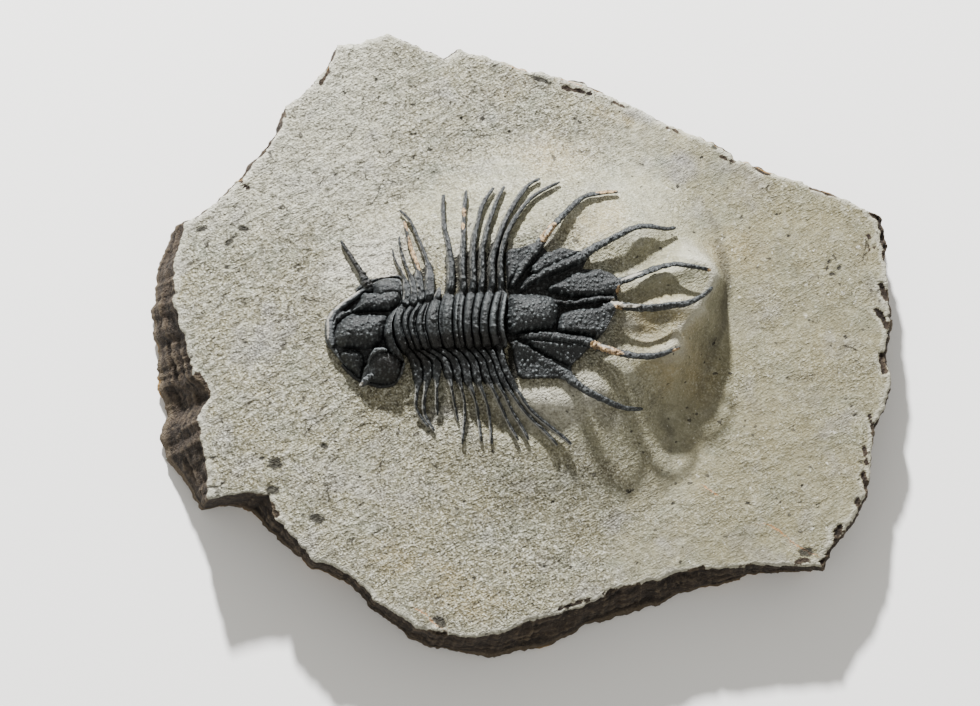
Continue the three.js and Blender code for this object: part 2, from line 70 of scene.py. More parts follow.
def noise(x, y, z, size, seed):
    # smooth lumps of about that size in mm, from -1 to 1
    places = [np.asarray(v, float) / size for v in (x, y, z)]
    places = np.broadcast_arrays(*places)
    cells = [np.floor(v).astype(np.int64) for v in places]
    inside = [p - c for p, c in zip(places, cells)]
    fades = [f * f * f * (f * (f * 6 - 15) + 10) for f in inside]
    total = np.zeros(places[0].shape)
    for dx in (0, 1):
        for dy in (0, 1):
            for dz in (0, 1):
                ids = (cells[0] + dx, cells[1] + dy, cells[2] + dz)
                turn = scattered(*ids, seed) * 2 * math.pi
                lean = scattered(*ids, seed + 91) * 2 - 1
                flat = np.sqrt(1 - lean * lean)
                slope = (np.cos(turn) * flat * (inside[0] - dx) + np.sin(turn) * flat * (inside[1] - dy)
                         + lean * (inside[2] - dz))
                weight = 1
                for fade, d in zip(fades, (dx, dy, dz)):
                    weight = weight * (fade if d else 1 - fade)
                total += slope * weight
    return total * 1.6


def lumps(x, y, z, rows, seed=0):
    # noises added up; each row is size in mm, height in mm, seed
    total = 0
    for size, height, rowSeed in rows:
        total = total + height * noise(x, y, z, size, rowSeed + seed)
    return total


def smoothCurve(rows, count):
    # more rows on one smooth curve through the rows given, evenly spaced along it
    rows = np.array(rows, float)
    padded = np.vstack([2 * rows[0] - rows[1], rows, 2 * rows[-1] - rows[-2]])
    t = np.linspace(0, len(rows) - 1, 24 * len(rows))
    k = np.minimum(t.astype(int), len(rows) - 2)
    f = (t - k)[:, None]
    a, b, c, d = (padded[k + i] for i in range(4))
    fine = b + 0.5 * f * (c - a + f * (2 * a - 5 * b + 4 * c - d + f * (3 * b - a - 3 * c + d)))
    return evenRows(fine, count)


def distanceAlong(rows):
    steps = np.hypot(*np.diff(rows[:, :2], axis=0).T)
    return np.concatenate([[0], np.cumsum(steps)])


def evenRows(rows, count):
    travelled = distanceAlong(rows)
    wanted = np.linspace(0, travelled[-1], count)
    return np.column_stack([np.interp(wanted, travelled, column) for column in rows.T])


def closedRows(rows):
    # rows that end with the first one again
    rows = np.array(rows, float)
    return np.vstack([rows, rows[:1]])


def toLinear(hexColour):
    # an sRGB hex colour as linear red, green, blue, alpha
    parts = [int(hexColour[i:i + 2], 16) / 255 for i in (1, 3, 5)]
    return (*[c / 12.92 if c < 0.04045 else ((c + 0.055) / 1.055) ** 2.4 for c in parts], 1)


# The stone's top surface, the same as in the part's source

mound = {
    "centre": (10, 8),
    "height": 13,
    "reach": [
        # direction in degrees, radius of the flat top, radius of the foot
        (-180, 14, 66), (-150, 10, 56), (-125, 8, 55), (-90, 10, 60), (-65, 11, 53), (-45, 18, 38),
        (-15, 25, 38), (0, 30, 40), (13, 35, 42), (38, 22, 45), (75, 17, 45), (135, 20, 50), (180, 14, 66),
    ],
    "slabHeight": 17, "fallX": 0.03, "fallY": 0.02,
    "carving": [
        # x, y, long, wide, turn, rise: walls left standing and hollows cut
        (32, 15.5, 11, 2.6, 18, 1.8), (32, 8, 11, 2.4, 4, 1.8), (31, 21, 8, 3.5, 25, -2),
        (31, 1.8, 10, 4.2, 0, -2.6), (14, 27, 7, 3.5, 40, -1.5), (-7, -18, 13, 4, -8, -1.6),
        (-24, -17, 6, 4, 0, -1.2), (-32, 21, 7, 4, 10, -1),
    ],
}


def moundRise(x, y):
    across, along = x - mound["centre"][0], y - mound["centre"][1]
    degrees = np.degrees(np.arctan2(along, across))
    rows = np.array(mound["reach"], float)
    low = np.clip(np.searchsorted(rows[:, 0], degrees) - 1, 0, len(rows) - 2)
    share = smoothstep((degrees - rows[low, 0]) / (rows[low + 1, 0] - rows[low, 0]))
    top = between(rows[low, 1], rows[low + 1, 1], share)
    foot = between(rows[low, 2], rows[low + 1, 2], share)
    return mound["height"] * smoothstep((foot - np.hypot(across, along)) / (foot - top))


def lozenge(x, y, cx, cy, longHalf, wideHalf, turn):
    # squared distance from a place, counted in half lengths and half widths
    angle = math.radians(turn)
    along = ((x - cx) * math.cos(angle) + (y - cy) * math.sin(angle)) / longHalf
    across = ((y - cy) * math.cos(angle) - (x - cx) * math.sin(angle)) / wideHalf
    return along * along + across * across


def rises(x, y, rows):
    # soft heaps and hollows, added up
    total = 0
    for *place, rise in rows:
        total = total + rise * np.exp(-lozenge(x, y, *place))
    return total


def ground(x, y):
    slope = mound["slabHeight"] - mound["fallX"] * x - mound["fallY"] * y
    return slope + moundRise(x, y) + rises(x, y, mound["carving"])


# Nets of points

def squareNet(half):
    # a square net's rings: which ring each point is on and how far round it
    i, j = np.meshgrid(np.arange(-half, half + 1), np.arange(-half, half + 1), indexing="ij")
    ring = np.maximum(abs(i), abs(j))
    safe = np.maximum(ring, 1)
    around = np.select(
        [(i == ring) & (j > -ring), (j == ring), (i == -ring), (j == -ring)],
        [(j + ring), (3 * ring - i), (5 * ring - j), (7 * ring + i)],
        0) / (8 * safe)
    return ring.ravel() / half, around.ravel() % 1


def netFaces(half):
    side = 2 * half + 1
    start = (np.arange(side - 1)[:, None] * side + np.arange(side - 1)[None, :]).ravel()
    return np.column_stack([start, start + side, start + side + 1, start + 1])


def netBorder(half):
    # the net's outer points in order, anticlockwise
    ring, around = squareNet(half)
    outer = np.flatnonzero(ring > 1 - 0.5 / half)
    return outer[np.argsort(around[outer])]


def walk(outline, shares, centre):
    # places along a closed outline, with the start of the walk at -45 degrees from the centre
    closed = closedRows(outline)
    travelled = distanceAlong(closed)
    travelled /= travelled[-1]
    angles = np.arctan2(outline[:, 1] - centre[1], outline[:, 0] - centre[0])
    first = travelled[np.argmin(abs(angles + math.pi / 4))]
    at = (shares + first) % 1
    return np.column_stack([np.interp(at, travelled, column) for column in closed.T])


def loopFaces(upper, lower):
    # the quads between two loops of point numbers, facing out
    return np.column_stack([upper, lower, np.roll(lower, -1), np.roll(upper, -1)])


def reachFrom(centre, points):
    return np.hypot(points[:, 0] - centre[0], points[:, 1] - centre[1])


def outFrom(centre, points, share):
    # x and y at a share of the way from a centre to each point
    return [between(centre[axis], points[:, axis], share) for axis in (0, 1)]


def closeNet(net, half, loops, middle):
    # a net's skin carried down through loops of points and closed on a middle point
    above, start = netBorder(half), len(net)
    size = len(above)
    quads = [netFaces(half)]
    for _ in loops:
        below = np.arange(start, start + size)
        quads.append(loopFaces(above, below))
        above, start = below, start + size
    fan = np.column_stack([np.full(size, start), np.roll(above, -1), above])
    return np.vstack([net, *loops, [middle]]), np.vstack(quads), fan


def storeValues(obj, name, values):
    attribute = obj.data.attributes.new(name, "FLOAT", "POINT")
    attribute.data.foreach_set("value", np.asarray(values, np.float32).ravel())


def meshPoints(obj):
    # an object's points, in mm in the drawing
    flat = np.empty(len(obj.data.vertices) * 3, np.float32)
    obj.data.vertices.foreach_get("co", flat)
    return flat.reshape(-1, 3).astype(float) / mm - drawingShift


def standOut(obj, rounds):
    # how many mm each point stands out of its smoothed surroundings; the materials paint highlight by it on
    # what stands out and shade in what lies in
    mesh = obj.data
    points = meshPoints(obj)
    edges = np.empty(len(mesh.edges) * 2, np.int32)
    mesh.edges.foreach_get("vertices", edges)
    a, b = edges.reshape(-1, 2).T
    count = np.maximum(np.bincount(edges, minlength=len(points)), 1)
    smooth = points.copy()
    for _ in range(rounds):
        for axis, old in enumerate(smooth.T.copy()):
            total = np.bincount(a, old[b], len(points)) + np.bincount(b, old[a], len(points))
            smooth[:, axis] = 0.5 * old + 0.5 * total / count
    normals = np.empty(len(points) * 3, np.float32)
    mesh.vertex_normals.foreach_get("vector", normals)
    return ((points - smooth) * normals.reshape(-1, 3)).sum(1)


def makeObject(name, skin, rounds):
    # a mesh object from points, quads and triangles, with its relief stored on it
    points, quads, triangles = skin
    mesh = bpy.data.meshes.new(name)
    placed = (np.asarray(points) + drawingShift) * mm
    mesh.from_pydata(placed.tolist(), [], quads.tolist() + triangles.tolist())
    mesh.shade_smooth()
    obj = bpy.data.objects.new(name, mesh)
    bpy.context.scene.collection.objects.link(obj)
    storeValues(obj, "relief", standOut(obj, rounds))
    return obj


# Material helpers

def addNode(tree, kind, settings=None, links=None):
    # one shader node, with settings by property or socket name and links from other nodes' outputs
    node = tree.nodes.new(kind)
    for key, value in (settings or {}).items():
        if isinstance(key, int) or key[0].isupper():
            node.inputs[key].default_value = value
        else:
            setattr(node, key, value)
    for socket, source in (links or {}).items():
        tree.links.new(source, node.inputs[socket])
    return node


def newMaterial(name):
    material = bpy.data.materials.new(name)
    material.use_nodes = True
    material.node_tree.nodes.clear()
    return material, material.node_tree


# Camera, at the photograph's angle

cameraPlan = {
    "aim": (-7.9, -1.4, 18.0),    # mm in the drawing, at the middle of the frame
    "distance": 800.0,
    "leanX": 6.0, "leanY": 9.0,   # degrees that the slab is tipped away from the camera
    "frameWidth": 980 / 4.2,      # mm across the frame at the aim
    "sensor": 36.0, "nearest": 0.05, "farthest": 20,    # mm, and m
}


def makeCamera(plan):
    lean = [math.tan(math.radians(plan[name])) for name in ("leanX", "leanY")]
    back = Vector((-lean[0], -lean[1], 1)).normalized()
    right = (Vector((1, 0, 0)) - back * back.x).normalized()
    up = back.cross(right)
    aim = (Vector(plan["aim"]) + Vector(drawingShift)) * mm
    data = bpy.data.cameras.new("camera")
    data.sensor_width = plan["sensor"]
    data.lens = plan["sensor"] * plan["distance"] / plan["frameWidth"]
    data.clip_start, data.clip_end = plan["nearest"], plan["farthest"]
    camera = bpy.data.objects.new("camera", data)
    turn = Matrix((right, up, back)).transposed().to_4x4()
    camera.matrix_world = Matrix.Translation(aim + back * plan["distance"] * mm) @ turn
    bpy.context.scene.collection.objects.link(camera)
    bpy.context.scene.camera = camera


makeCamera(cameraPlan)
print("camera placed")


# The slab: split limestone, its top worked with a needle, its flanks broken

slab = {
    "half": 133,             # points from the middle to the edge of the net
    "centre": (8, 6),
    "flankRows": 21,
    "footInset": 1.6,        # mm
    "footShare": 0.1, "reliefRounds": 6,
    # how far down the flank, and how much of the underside's standing out is reached there
    "flankShare": ((0, 0.16, 0.42, 0.68, 0.9, 1), (0, 0.12, 0.5, 0.72, 1, 1)),
    "layerHigh": 2.1,        # mm, the split layers that show in the flank
    # lumps: size in mm, height in mm, seed
    "nibbles": [(4.3, 0.5, 3), (1.9, 0.4, 4), (0.9, 0.34, 5)],
    "swells": [(31, 0.5, 41), (14, 0.3, 42)],
    "dents": [(6, 0.2, 43), (2.9, 0.13, 44)],
    "grit": [(1.4, 0.09, 45)],
    "crumbDepth": [(3, 0.4, 61), (1.2, 0.35, 62)],
    "crumbWidth": [(5, 0.5, 63), (1.7, 0.3, 64)],
    "layerBend": [(16, 0.9, 71)],
    "layerOut": [(9, 0.75, 72), (3, 0.3, 73)],
    # squeeze upwards, and a lump
    "flankLumps": [(1.3, (12, 0.9, 74)), (1.6, (3, 0.3, 75)), (2, (1.3, 0.16, 76))],
    "outline": [
        # x, y, how far the underside stands out past the top edge
        (90.3, 14.7, 0.5), (90, 22.9, 0.5), (91, 25.9, 0), (89.5, 33.4, 0.5), (85.1, 34.8, 1),
        (78.7, 38, 1), (70.6, 41.2, 0.5), (61.3, 44.2, 1), (53.7, 47.2, 0.5), (47.6, 51.4, 1),
        (39.5, 54.5, 1), (32.5, 57.9, 0.5), (25.7, 61.5, 1), (17.6, 64.7, 1), (10.8, 67.3, 0.5),
        (3.5, 68.4, 1), (-2.8, 70.6, 1), (-7.9, 72, 1), (-13.8, 73.4, 0.5), (-17.7, 71.1, 1),
        (-24.7, 74.2, 1), (-31.7, 77.3, 0.5), (-38.3, 75, 1), (-43.7, 74.3, 0.5), (-44.6, 70.9, 1),
        (-48.7, 65.4, 1), (-52.9, 61.3, 1), (-56.4, 58.8, 0.5), (-57.2, 53.4, 1.5), (-60.6, 48.2, 1.5),
        (-66.9, 41, 2), (-73.1, 34.9, 2), (-80.4, 29.7, 3), (-83, 20, 4), (-83, 11, 5), (-81, 3, 6),
        (-78.6, -5.7, 8), (-74.6, -12.3, 10), (-77.5, -16.5, 9), (-76.6, -23.3, 8), (-75, -31.3, 4),
        (-75.4, -36.5, 1), (-68.2, -35.1, 2.5), (-60.7, -35.3, 4), (-59.8, -40.8, 1), (-55.2, -45.7, 1),
        (-51, -50.7, 0), (-45.8, -52.4, 0.5), (-40.2, -55.7, 0), (-36.1, -60.6, 0), (-27, -66.2, 1),
        (-22.3, -68.6, 1.5), (-12.4, -69.3, 3), (-6.4, -68.3, 5), (-1.4, -66, 6), (5, -64.5, 6.5),
        (10.6, -62.5, 5.5), (15.6, -60.9, 4), (21.2, -58.5, 6), (26.7, -57.2, 5.5), (33.3, -55.3, 5),
        (38.6, -53.6, 4.5), (46.9, -53.1, 3.5), (57.8, -52.5, 1), (68.2, -53, 0), (71.3, -52.6, 0),
        (77.1, -44.6, 0.5), (81, -39.3, 0.5), (83.1, -34.3, 1), (84.6, -28.5, 0.5), (85.5, -19, 1),
        (88.4, -13.8, 0.5), (90.4, -7.4, 0.5), (88.7, -0.6, 1.5), (90.2, 6.3, 0.5),
    ],
    "edgeFlakes": [
        # a line x, y to x, y, reach on both sides of it, depth: strips split off the top edge, dark inside
        (89.6, 33.1, 91, 24.7, 1.5, 2.2), (86.8, 33.6, 89, 32.6, 0.7, 1), (89.5, 27.1, 89.9, 22.6, 0.8, 1),
        (85.3, 28.3, 86, 27.6, 0.3, 0.3), (85.5, 26.4, 85.7, 24.4, 0.3, 0.3),
        (87, 25.6, 87.4, 24.4, 0.3, 0.3), (88.4, 16.2, 89.6, 12.7, 0.7, 0.8),
        (87, 9.8, 89.6, 5.6, 0.7, 0.8), (88, -1.3, 88.6, -5.2, 0.8, 0.9), (84.4, -16, 85.3, -25, 0.4, 0.6),
        (82.6, -23.8, 83.1, -28, 0.5, 0.4), (82.2, -30.4, 83.2, -35.2, 0.7, 0.9),
        (80.3, -36.4, 81.2, -39.8, 0.5, 0.6), (75.8, -43.2, 74.8, -47.5, 0.8, 0.9),
        (74.6, -47.8, 71.6, -51.9, 0.8, 1), (65.1, -51.6, 67.8, -51.1, 0.6, 0.3),
        (51.5, -52.6, 53.9, -52.1, 0.4, 0.4), (38.9, -53.6, 42.3, -53.1, 0.6, 0.6),
        (18.3, -58.9, 27, -56.8, 0.5, 0.6), (7.7, -62.4, 14.9, -60.2, 0.4, 0.5),
        (-23.2, -68, -19.5, -68.5, 0.7, 0.8), (-77.4, -7.8, -75.8, -11.2, 1.6, 0.6),
        (-77.2, -11.9, -77.7, -15, 0.9, 0.6), (-67.5, -35.6, -62.3, -36, 0.9, 1),
        (-61.2, -37, -59.3, -39.8, 1, 1), (11.2, 64.4, 17.8, 62.8, 0.5, 0.4),
        (-4.8, 71.4, -2.3, 70.6, 0.4, 0.4), (23.7, 60.8, 26.1, 59.6, 0.3, 0.3),
        (36.8, 54.6, 39.3, 53.6, 0.4, 0.4), (49.5, 47.6, 53.1, 46.2, 0.4, 0.3),
        (58, 44.8, 61.2, 43.4, 0.5, 0.4), (72, 40, 78, 38, 0.5, 0.5), (-57, 58.1, -56.3, 56.4, 0.6, 0.7),
        (-67.1, 40.1, -65.4, 38.6, 0.5, 0.4), (-77.6, 32.3, -75.4, 33.4, 0.5, 0.4),
        (-45.6, 67.6, -47.6, 64.4, 0.5, 0.5),
    ],
    "darkSpots": [
        # x, y, long, wide, turn: dents with a dark filling
        (-76.2, 28.3, 1.5, 0.7, 15), (-66.4, 28.6, 1.5, 0.7, -8), (-69.8, 25.2, 1.5, 0.7, 40),
        (-68.7, 26.6, 1, 0.3, 35), (-70.3, 19.1, 0.7, 0.5, 0), (-68.2, 18.9, 0.6, 0.3, -15),
        (-67.6, 18.2, 0.6, 0.3, 0), (-53.5, 18.3, 0.5, 0.4, 0), (-47.7, -23.7, 1.2, 0.6, -15),
        (-49.5, -40.8, 2, 1.1, -15), (-59.2, -27.8, 2, 1.4, -5), (-62.3, -26.6, 0.7, 0.5, 0),
        (-59.8, -34.2, 1.7, 1, 0), (-39.2, -31.1, 0.5, 0.4, 0), (-73.8, -26.4, 1.1, 0.3, 5),
        (-74, -33.4, 1.6, 0.3, 10), (-71.5, -32.4, 1, 0.3, 40), (-41.8, 62.3, 0.7, 0.4, 30),
        (-33.8, 61.1, 0.6, 0.4, 0), (-25.2, 59.3, 0.7, 0.4, 0), (-26, 52.1, 0.4, 0.3, 0),
        (-24.8, 52.1, 0.4, 0.3, 0), (-21.5, 48.2, 1, 0.4, -35), (-25.4, 46.4, 0.6, 0.4, 20),
        (-34.3, 65.6, 0.5, 0.5, 0), (-16.4, 59.9, 0.4, 0.3, 0), (-8.5, 56.3, 0.5, 0.5, 0),
        (-13.8, 56.2, 0.4, 0.4, 0), (-2.2, 53.2, 0.5, 0.4, 0), (14, 56.6, 0.6, 0.3, 20),
        (15.2, 55.7, 0.8, 0.3, -20), (34.4, 56.7, 0.6, 0.4, 0), (48.3, 49.9, 0.8, 0.5, -25),
        (45, 47.3, 0.5, 0.4, 0), (52.1, 45.9, 0.5, 0.3, 0), (38.8, 40, 0.6, 0.4, 50),
        (41.9, 28, 0.4, 0.4, 0), (49.8, 27.5, 0.4, 0.4, 0), (65.7, 27.9, 0.5, 0.3, 0),
        (75.6, 21.6, 0.7, 0.5, 60), (75, 20, 0.7, 0.4, 80), (76.2, 18.6, 0.9, 0.5, 0),
        (78, 20.1, 0.7, 0.5, 45), (64.5, -7.1, 0.5, 0.4, 0), (79.1, 3.1, 0.7, 0.4, -30),
        (53.7, -37.4, 0.7, 0.5, 0), (67, -33.1, 0.4, 0.6, 0), (70.7, -37.9, 0.4, 0.6, 0),
        (66.4, -37.2, 0.5, 0.3, 0), (81.6, -27.4, 0.6, 0.4, 0), (79.8, -13.7, 0.5, 0.4, 0),
        (80.6, -16, 0.7, 0.4, 0), (-12.6, -55.1, 0.5, 0.3, 0), (-5.2, -53.9, 0.4, 0.3, 0),
        (4.3, -52.3, 0.6, 0.4, 0), (6.3, -37.3, 0.5, 0.4, 0), (-14.9, -37.1, 0.5, 0.3, 0),
        (24.7, -34.9, 0.4, 0.3, 0), (35.5, -37.4, 0.5, 0.4, 0), (26.2, -51.7, 0.6, 0.3, 30),
        (10.5, -52.6, 0.5, 0.4, 0), (-44.4, 42, 0.5, 0.3, 0), (-37, 41.4, 0.5, 0.3, 0),
        (67.4, -49.2, 1.8, 1.1, 0), (-20.8, -65.3, 1.8, 1.1, -35), (5.6, 66.2, 3.2, 0.6, -18),
        (60.5, 43.9, 1.6, 0.7, -22), (-60.4, -11, 0.4, 0.6, 0), (-66.3, 1, 0.5, 0.4, 0),
        (-57, -48, 0.6, 0.5, 0), (63, 33.3, 0.4, 0.4, 0), (81, -31.6, 0.5, 0.4, 0),
    ],
    "cracks": [
        # x, y to x, y: cracks and the lips of thin split layers
        (-42.4, 53.6, -40.2, 54.6), (-41.2, 50.7, -39, 52.7), (-43.1, 48.2, -41.4, 49.9),
        (-31.5, 52, -28.2, 53.1), (-38, 59.1, -36.3, 59.9), (-32.3, 46.3, -30.6, 48.1),
        (-39.1, 44.8, -36.4, 45.6), (-30.3, 72.1, -28.4, 71.7), (-7.4, 59.1, -5.2, 60.1),
        (-12.2, 68.2, -10.2, 69), (-6.5, 68.8, -4.1, 70.1), (-14.6, 52.8, -9.7, 53.1),
        (-11.7, 51.3, -4.9, 52.4), (-13.8, 46.7, -8.4, 49.5), (-18, 51.2, -16.3, 52),
        (-21.6, 42.4, -18.7, 42.6), (-17.3, 43.1, -14.1, 44.3), (-28, 64, -23.4, 63.3),
        (8.6, 56.3, 10.6, 57.1), (-48.5, 38.5, -46.8, 41.5), (-34.1, 36.7, -33.4, 40.2),
        (-32.8, 40.5, -29.1, 39.7), (-37.5, 34, -33.9, 36.7), (-44.9, 41.3, -43.4, 42.3),
        (-52, 45.8, -50.1, 47.6), (-61.3, 13.4, -58.5, 12.7), (-67.5, 10.9, -65.1, 10.5),
        (-53, 11.3, -46.5, 10.4), (-58.3, 0.2, -55.4, 1.1), (-54.6, 0.5, -47.7, 2.5),
        (-52.6, -21.3, -50.5, -18.7), (-49.9, -18.9, -48.3, -17.5), (-49.2, -16.1, -46.4, -13.5),
        (-34.3, -33, -33, -24.7), (-47, -32.3, -46.4, -36.5), (-34.4, -20.6, -32.2, -18.7),
        (-30.4, -21.8, -29.6, -19.2), (-43, -47.2, -39.4, -45.5), (-37, -44.8, -33.7, -43),
        (-19.3, -43, -17.8, -41.8), (60.6, 39, 61.6, 41.1), (11.6, 50.3, 14.1, 50.6),
        (14.4, 48.2, 17.4, 48.3), (23.9, -35.4, 26.1, -34.2), (-1.5, -48.5, 0.1, -47.3),
        (83.8, 21.6, 85.4, 24.1), (-22.6, -27.5, -21, -29.4), (54.8, 21.4, 55.4, 22.9),
        (46.3, 0.9, 47.3, 3.1), (84.8, 27.6, 84.4, 24.2), (-59.5, 6.2, -56.2, 6.9),
        (-40.6, -38.9, -38, -37), (-46.8, -27.9, -43.9, -26.2), (-37.9, -52.8, -34.8, -51.2),
        (-22.8, -60.6, -19.2, -58.3), (-14, -62.2, -10.6, -60.4), (-16.7, -58.1, -14.2, -56.6),
        (-8.3, -60, -5.9, -58.3), (68.9, -6.7, 71.6, -6), (77.8, 1.1, 82.6, -0.6),
    ],
    "veins": [
        # x, y to x, y: thin seams stained orange
        (42.1, -32.8, 46.9, -35.9), (56.4, -42, 63.6, -46.3), (63.6, -46.3, 71.2, -50.4),
        (-19.7, -67.6, -24, -63.8), (-24, -63.8, -27.6, -61.4), (54.9, 46.2, 61.8, 43.8),
        (-3.2, 70, 4, 68.2), (9.7, 66.5, 16.4, 64.4),
    ],
    "halo": [
        # x, y, long, wide, turn: stone rubbed smooth and pale round the spines
        (-6, 34, 23, 11, 6), (24, 32, 22, 13, -20), (40, 12, 17, 26, 0), (13, -19, 22, 10, -12),
        (30, -14, 18, 12, 20),
    ],
    "paintedLight": [
        # x, y, long, wide, turn: painted light, stone painted nearly white on the ledge below the tail and
        # beside the head
        (3, -16, 10, 5.5, -8), (13, -12, 6, 4, -35), (-38, 20, 12, 6, 30),
    ],
    "warm": [
        # x, y, long, wide, turn: stone stained a little yellow
        (33, 4, 9, 7, 0), (37, -5, 12, 8, -20), (18, 29, 8, 5, 30), (-20, -53.5, 8, 2.4, -28),
        (-11, -58.5, 9, 2.2, -30), (-16, -60, 9, 4, -30), (8, 47, 9, 6, 0), (52, 24, 8, 6, 0),
        (23, 57.6, 7, 1.6, -22), (-33, -50, 8, 4, -25),
    ],
    "smears": [
        # x, y, long, wide, turn: brown dirt left in hollows
        (-48.2, 11.8, 5.4, 1.5, -10), (-52, 15.5, 6, 2.2, 8), (18, -29.4, 7, 3, -10), (72, -6.4, 7, 1.6, 5),
        (84, 24, 2.4, 3.4, 0), (-8, 62, 9, 2, 14), (2, 65.5, 7, 1.6, -16), (-24, -60, 5, 2, -35),
    ],
    "ledges": [
        # x, y, long, wide, turn, rise: stone left a little higher outside the moat round the tail
        (4, -14.6, 8, 3.8, -4, 1.6), (16.5, -11.4, 5, 3.4, -35, 1.5), (27, 3.8, 5, 1.8, -10, 0.9),
        (37.5, 3, 5, 9, 0, 1.7), (35, -2.4, 5, 7, 0, 2),
    ],
    "crackZone": 0.95, "outlineStep": 0.25,    # mm
}


def ruggedOutline():
    # the outline in small steps, with its straight stretches nibbled
    closed, centre = closedRows(slab["outline"]), slab["centre"]
    rows = evenRows(closed, int(distanceAlong(closed)[-1] / slab["outlineStep"]))[:-1]
    out = lumps(rows[:, 0], rows[:, 1], 0, slab["nibbles"]) - 0.25
    rows[:, :2] = np.column_stack(outFrom(centre, rows, 1 + out / reachFrom(centre, rows)))
    return rows


def patches(x, y, rows):
    # 1 inside the lozenges listed, falling off outside them
    most = np.zeros(np.shape(x))
    for row in rows:
        most = np.maximum(most, np.exp(-lozenge(x, y, *row) ** 2))
    return most


def lineFrame(x, y, row):
    # place along a line from -1 to 1, signed distance from it, and its half length
    half = math.dist(row[:2], row[2:4]) / 2
    aheadX, aheadY = (row[2] - row[0]) / (2 * half), (row[3] - row[1]) / (2 * half)
    offX, offY = x - (row[0] + row[2]) / 2, y - (row[1] + row[3]) / 2
    return (offX * aheadX + offY * aheadY) / half, offY * aheadX - offX * aheadY, half


def crackMarks(x, y):
    # for each place near a crack or a vein: how far along it and across it, and which of the two it is
    along, across = np.full(np.shape(x), 2.0), np.full(np.shape(x), 2.0)
    near, vein = np.zeros(np.shape(x)), np.zeros(np.shape(x))
    rows = [(row, 0) for row in slab["cracks"]] + [(row, 1) for row in slab["veins"]]
    for k, (row, kind) in enumerate(rows):
        u, v, half = lineFrame(x, y, row)
        v = v - (1 - u * u) * half * (0, 0.16, -0.1, 0.08)[k % 4]
        closer = (abs(u) < 1.15) & (abs(v) < slab["crackZone"]) & (abs(v) < abs(across))
        along, across = np.where(closer, u, along), np.where(closer, v, across)
        near, vein = np.where(closer, 1, near), np.where(closer, kind, vein)
    return along, across, near, vein


def flakedSteps(x, y):
    # thin layers of stone that end in little ledges
    angle = math.radians(28)
    along = (x * math.cos(angle) + y * math.sin(angle)) / 1.7
    across = y * math.cos(angle) - x * math.sin(angle)
    wave = [(17 / 2 ** k, 0.55 ** k, 21 + 7 * k) for k in range(4)]
    level = 2.6 * (lumps(along, across, 0, wave) + across / 60)
    part = level - np.floor(level)
    return smoothstep((part - 0.8) / 0.2) - part


def stoneTop(x, y, edgeDistance):
    halo = np.clip(patches(x, y, slab["halo"]) * 1.15 + 0.3 * noise(x, y, 0, 9, 31), 0, 1)
    rough = 1 - 0.75 * halo
    steps = smoothstep(0.5 + 0.9 * noise(x, y, 0, 30, 33) - (x + 10) / 90 + y / 160)
    height = ground(x, y) + lumps(x, y, 0, slab["swells"]) + rises(x, y, slab["ledges"])
    height = height + rough * lumps(x, y, 0, slab["dents"])
    height = height + (0.4 + 0.6 * rough) * lumps(x, y, 0, slab["grit"])
    height = height + 0.34 * rough * steps * flakedSteps(x, y)
    dark = np.zeros(np.shape(x))
    for row in slab["darkSpots"]:
        dark = np.maximum(dark, np.clip(1.3 - 0.8 * np.sqrt(lozenge(x, y, *row)), 0, 1))
    height = height - 0.3 * smoothstep(dark)
    # the edge crumbles over a narrow strip, and longer flakes have split off it
    crumbWidth = 0.75 + lumps(x, y, 0, slab["crumbWidth"])
    crumbDepth = 0.5 + lumps(x, y, 0, slab["crumbDepth"])
    fall = np.clip(1 - edgeDistance / np.maximum(crumbWidth, 0.3), 0, 1) ** 1.3
    fall = fall * np.clip(crumbDepth, 0.1, 2)
    broken = 0.42 * smoothstep((0.8 - edgeDistance) / 0.8)
    for row in slab["edgeFlakes"]:
        u, v, half = lineFrame(x, y, row)
        away = np.hypot(np.maximum(abs(u) - 1, 0) * half, v) + 0.45 * noise(x, y, 0, 1.6, 66)
        bite = np.clip((row[4] - away) / 0.9 + 0.5, 0, 1)
        depth = row[5] * (0.8 + 0.5 * noise(x, y, 0, 1.8, 65))
        fall = np.maximum(fall, smoothstep(bite * 1.4 - 0.3) * depth)
        broken = np.maximum(broken, bite)
    along, across, near, vein = crackMarks(x, y)
    lip = near * (1 - vein) * np.clip(1 - along ** 2, 0, 1) * smoothstep(across / 0.6 + 0.5)
    height = height - 0.1 * lip
    # golden rims along the top edge beyond y 30: golden stone, and painted highlight where the edge catches
    # the light
    gold = smoothstep((0.5 - edgeDistance) / 0.4) * smoothstep(noise(x, y, 0, 6, 67) * 4) * (y > 30)
    # fewer grains show to the right, below, and on the rubbed stone; most at the left ends
    calm = np.maximum(0.6 * halo, smoothstep((x - 5) / 30) * 0.9) + 0.35 * noise(x, y, 0, 11, 36)
    # browner and darker towards the animal's left and past its tail, palest at the head's right
    tone = 0.55 * smoothstep(0.48 - y / 75 + 0.12 * noise(x, y, 0, 24, 37))
    tone = tone + 0.95 * smoothstep((x - 34) / 24)
    tone = tone - 0.3 * smoothstep((-22 - x) / 20) * smoothstep((y - 20) / 20)
    return height - fall, {
        "calm": np.clip(calm, 0, 1), "tone": tone, "halo": halo,
        "dark": dark, "broken": broken, "gold": gold,
        "paintedLight": patches(x, y, slab["paintedLight"]) * (0.9 + 0.4 * noise(x, y, 0, 4, 38)),
        "warm": patches(x, y, slab["warm"]) * (0.7 + 0.5 * noise(x, y, 0, 5, 34)),
        "smear": patches(x, y, slab["smears"]) * (0.7 + 0.5 * noise(x, y, 0, 3, 35)),
        "crackAlong": along, "crackAcross": across, "crackNear": near, "vein": vein,
    }


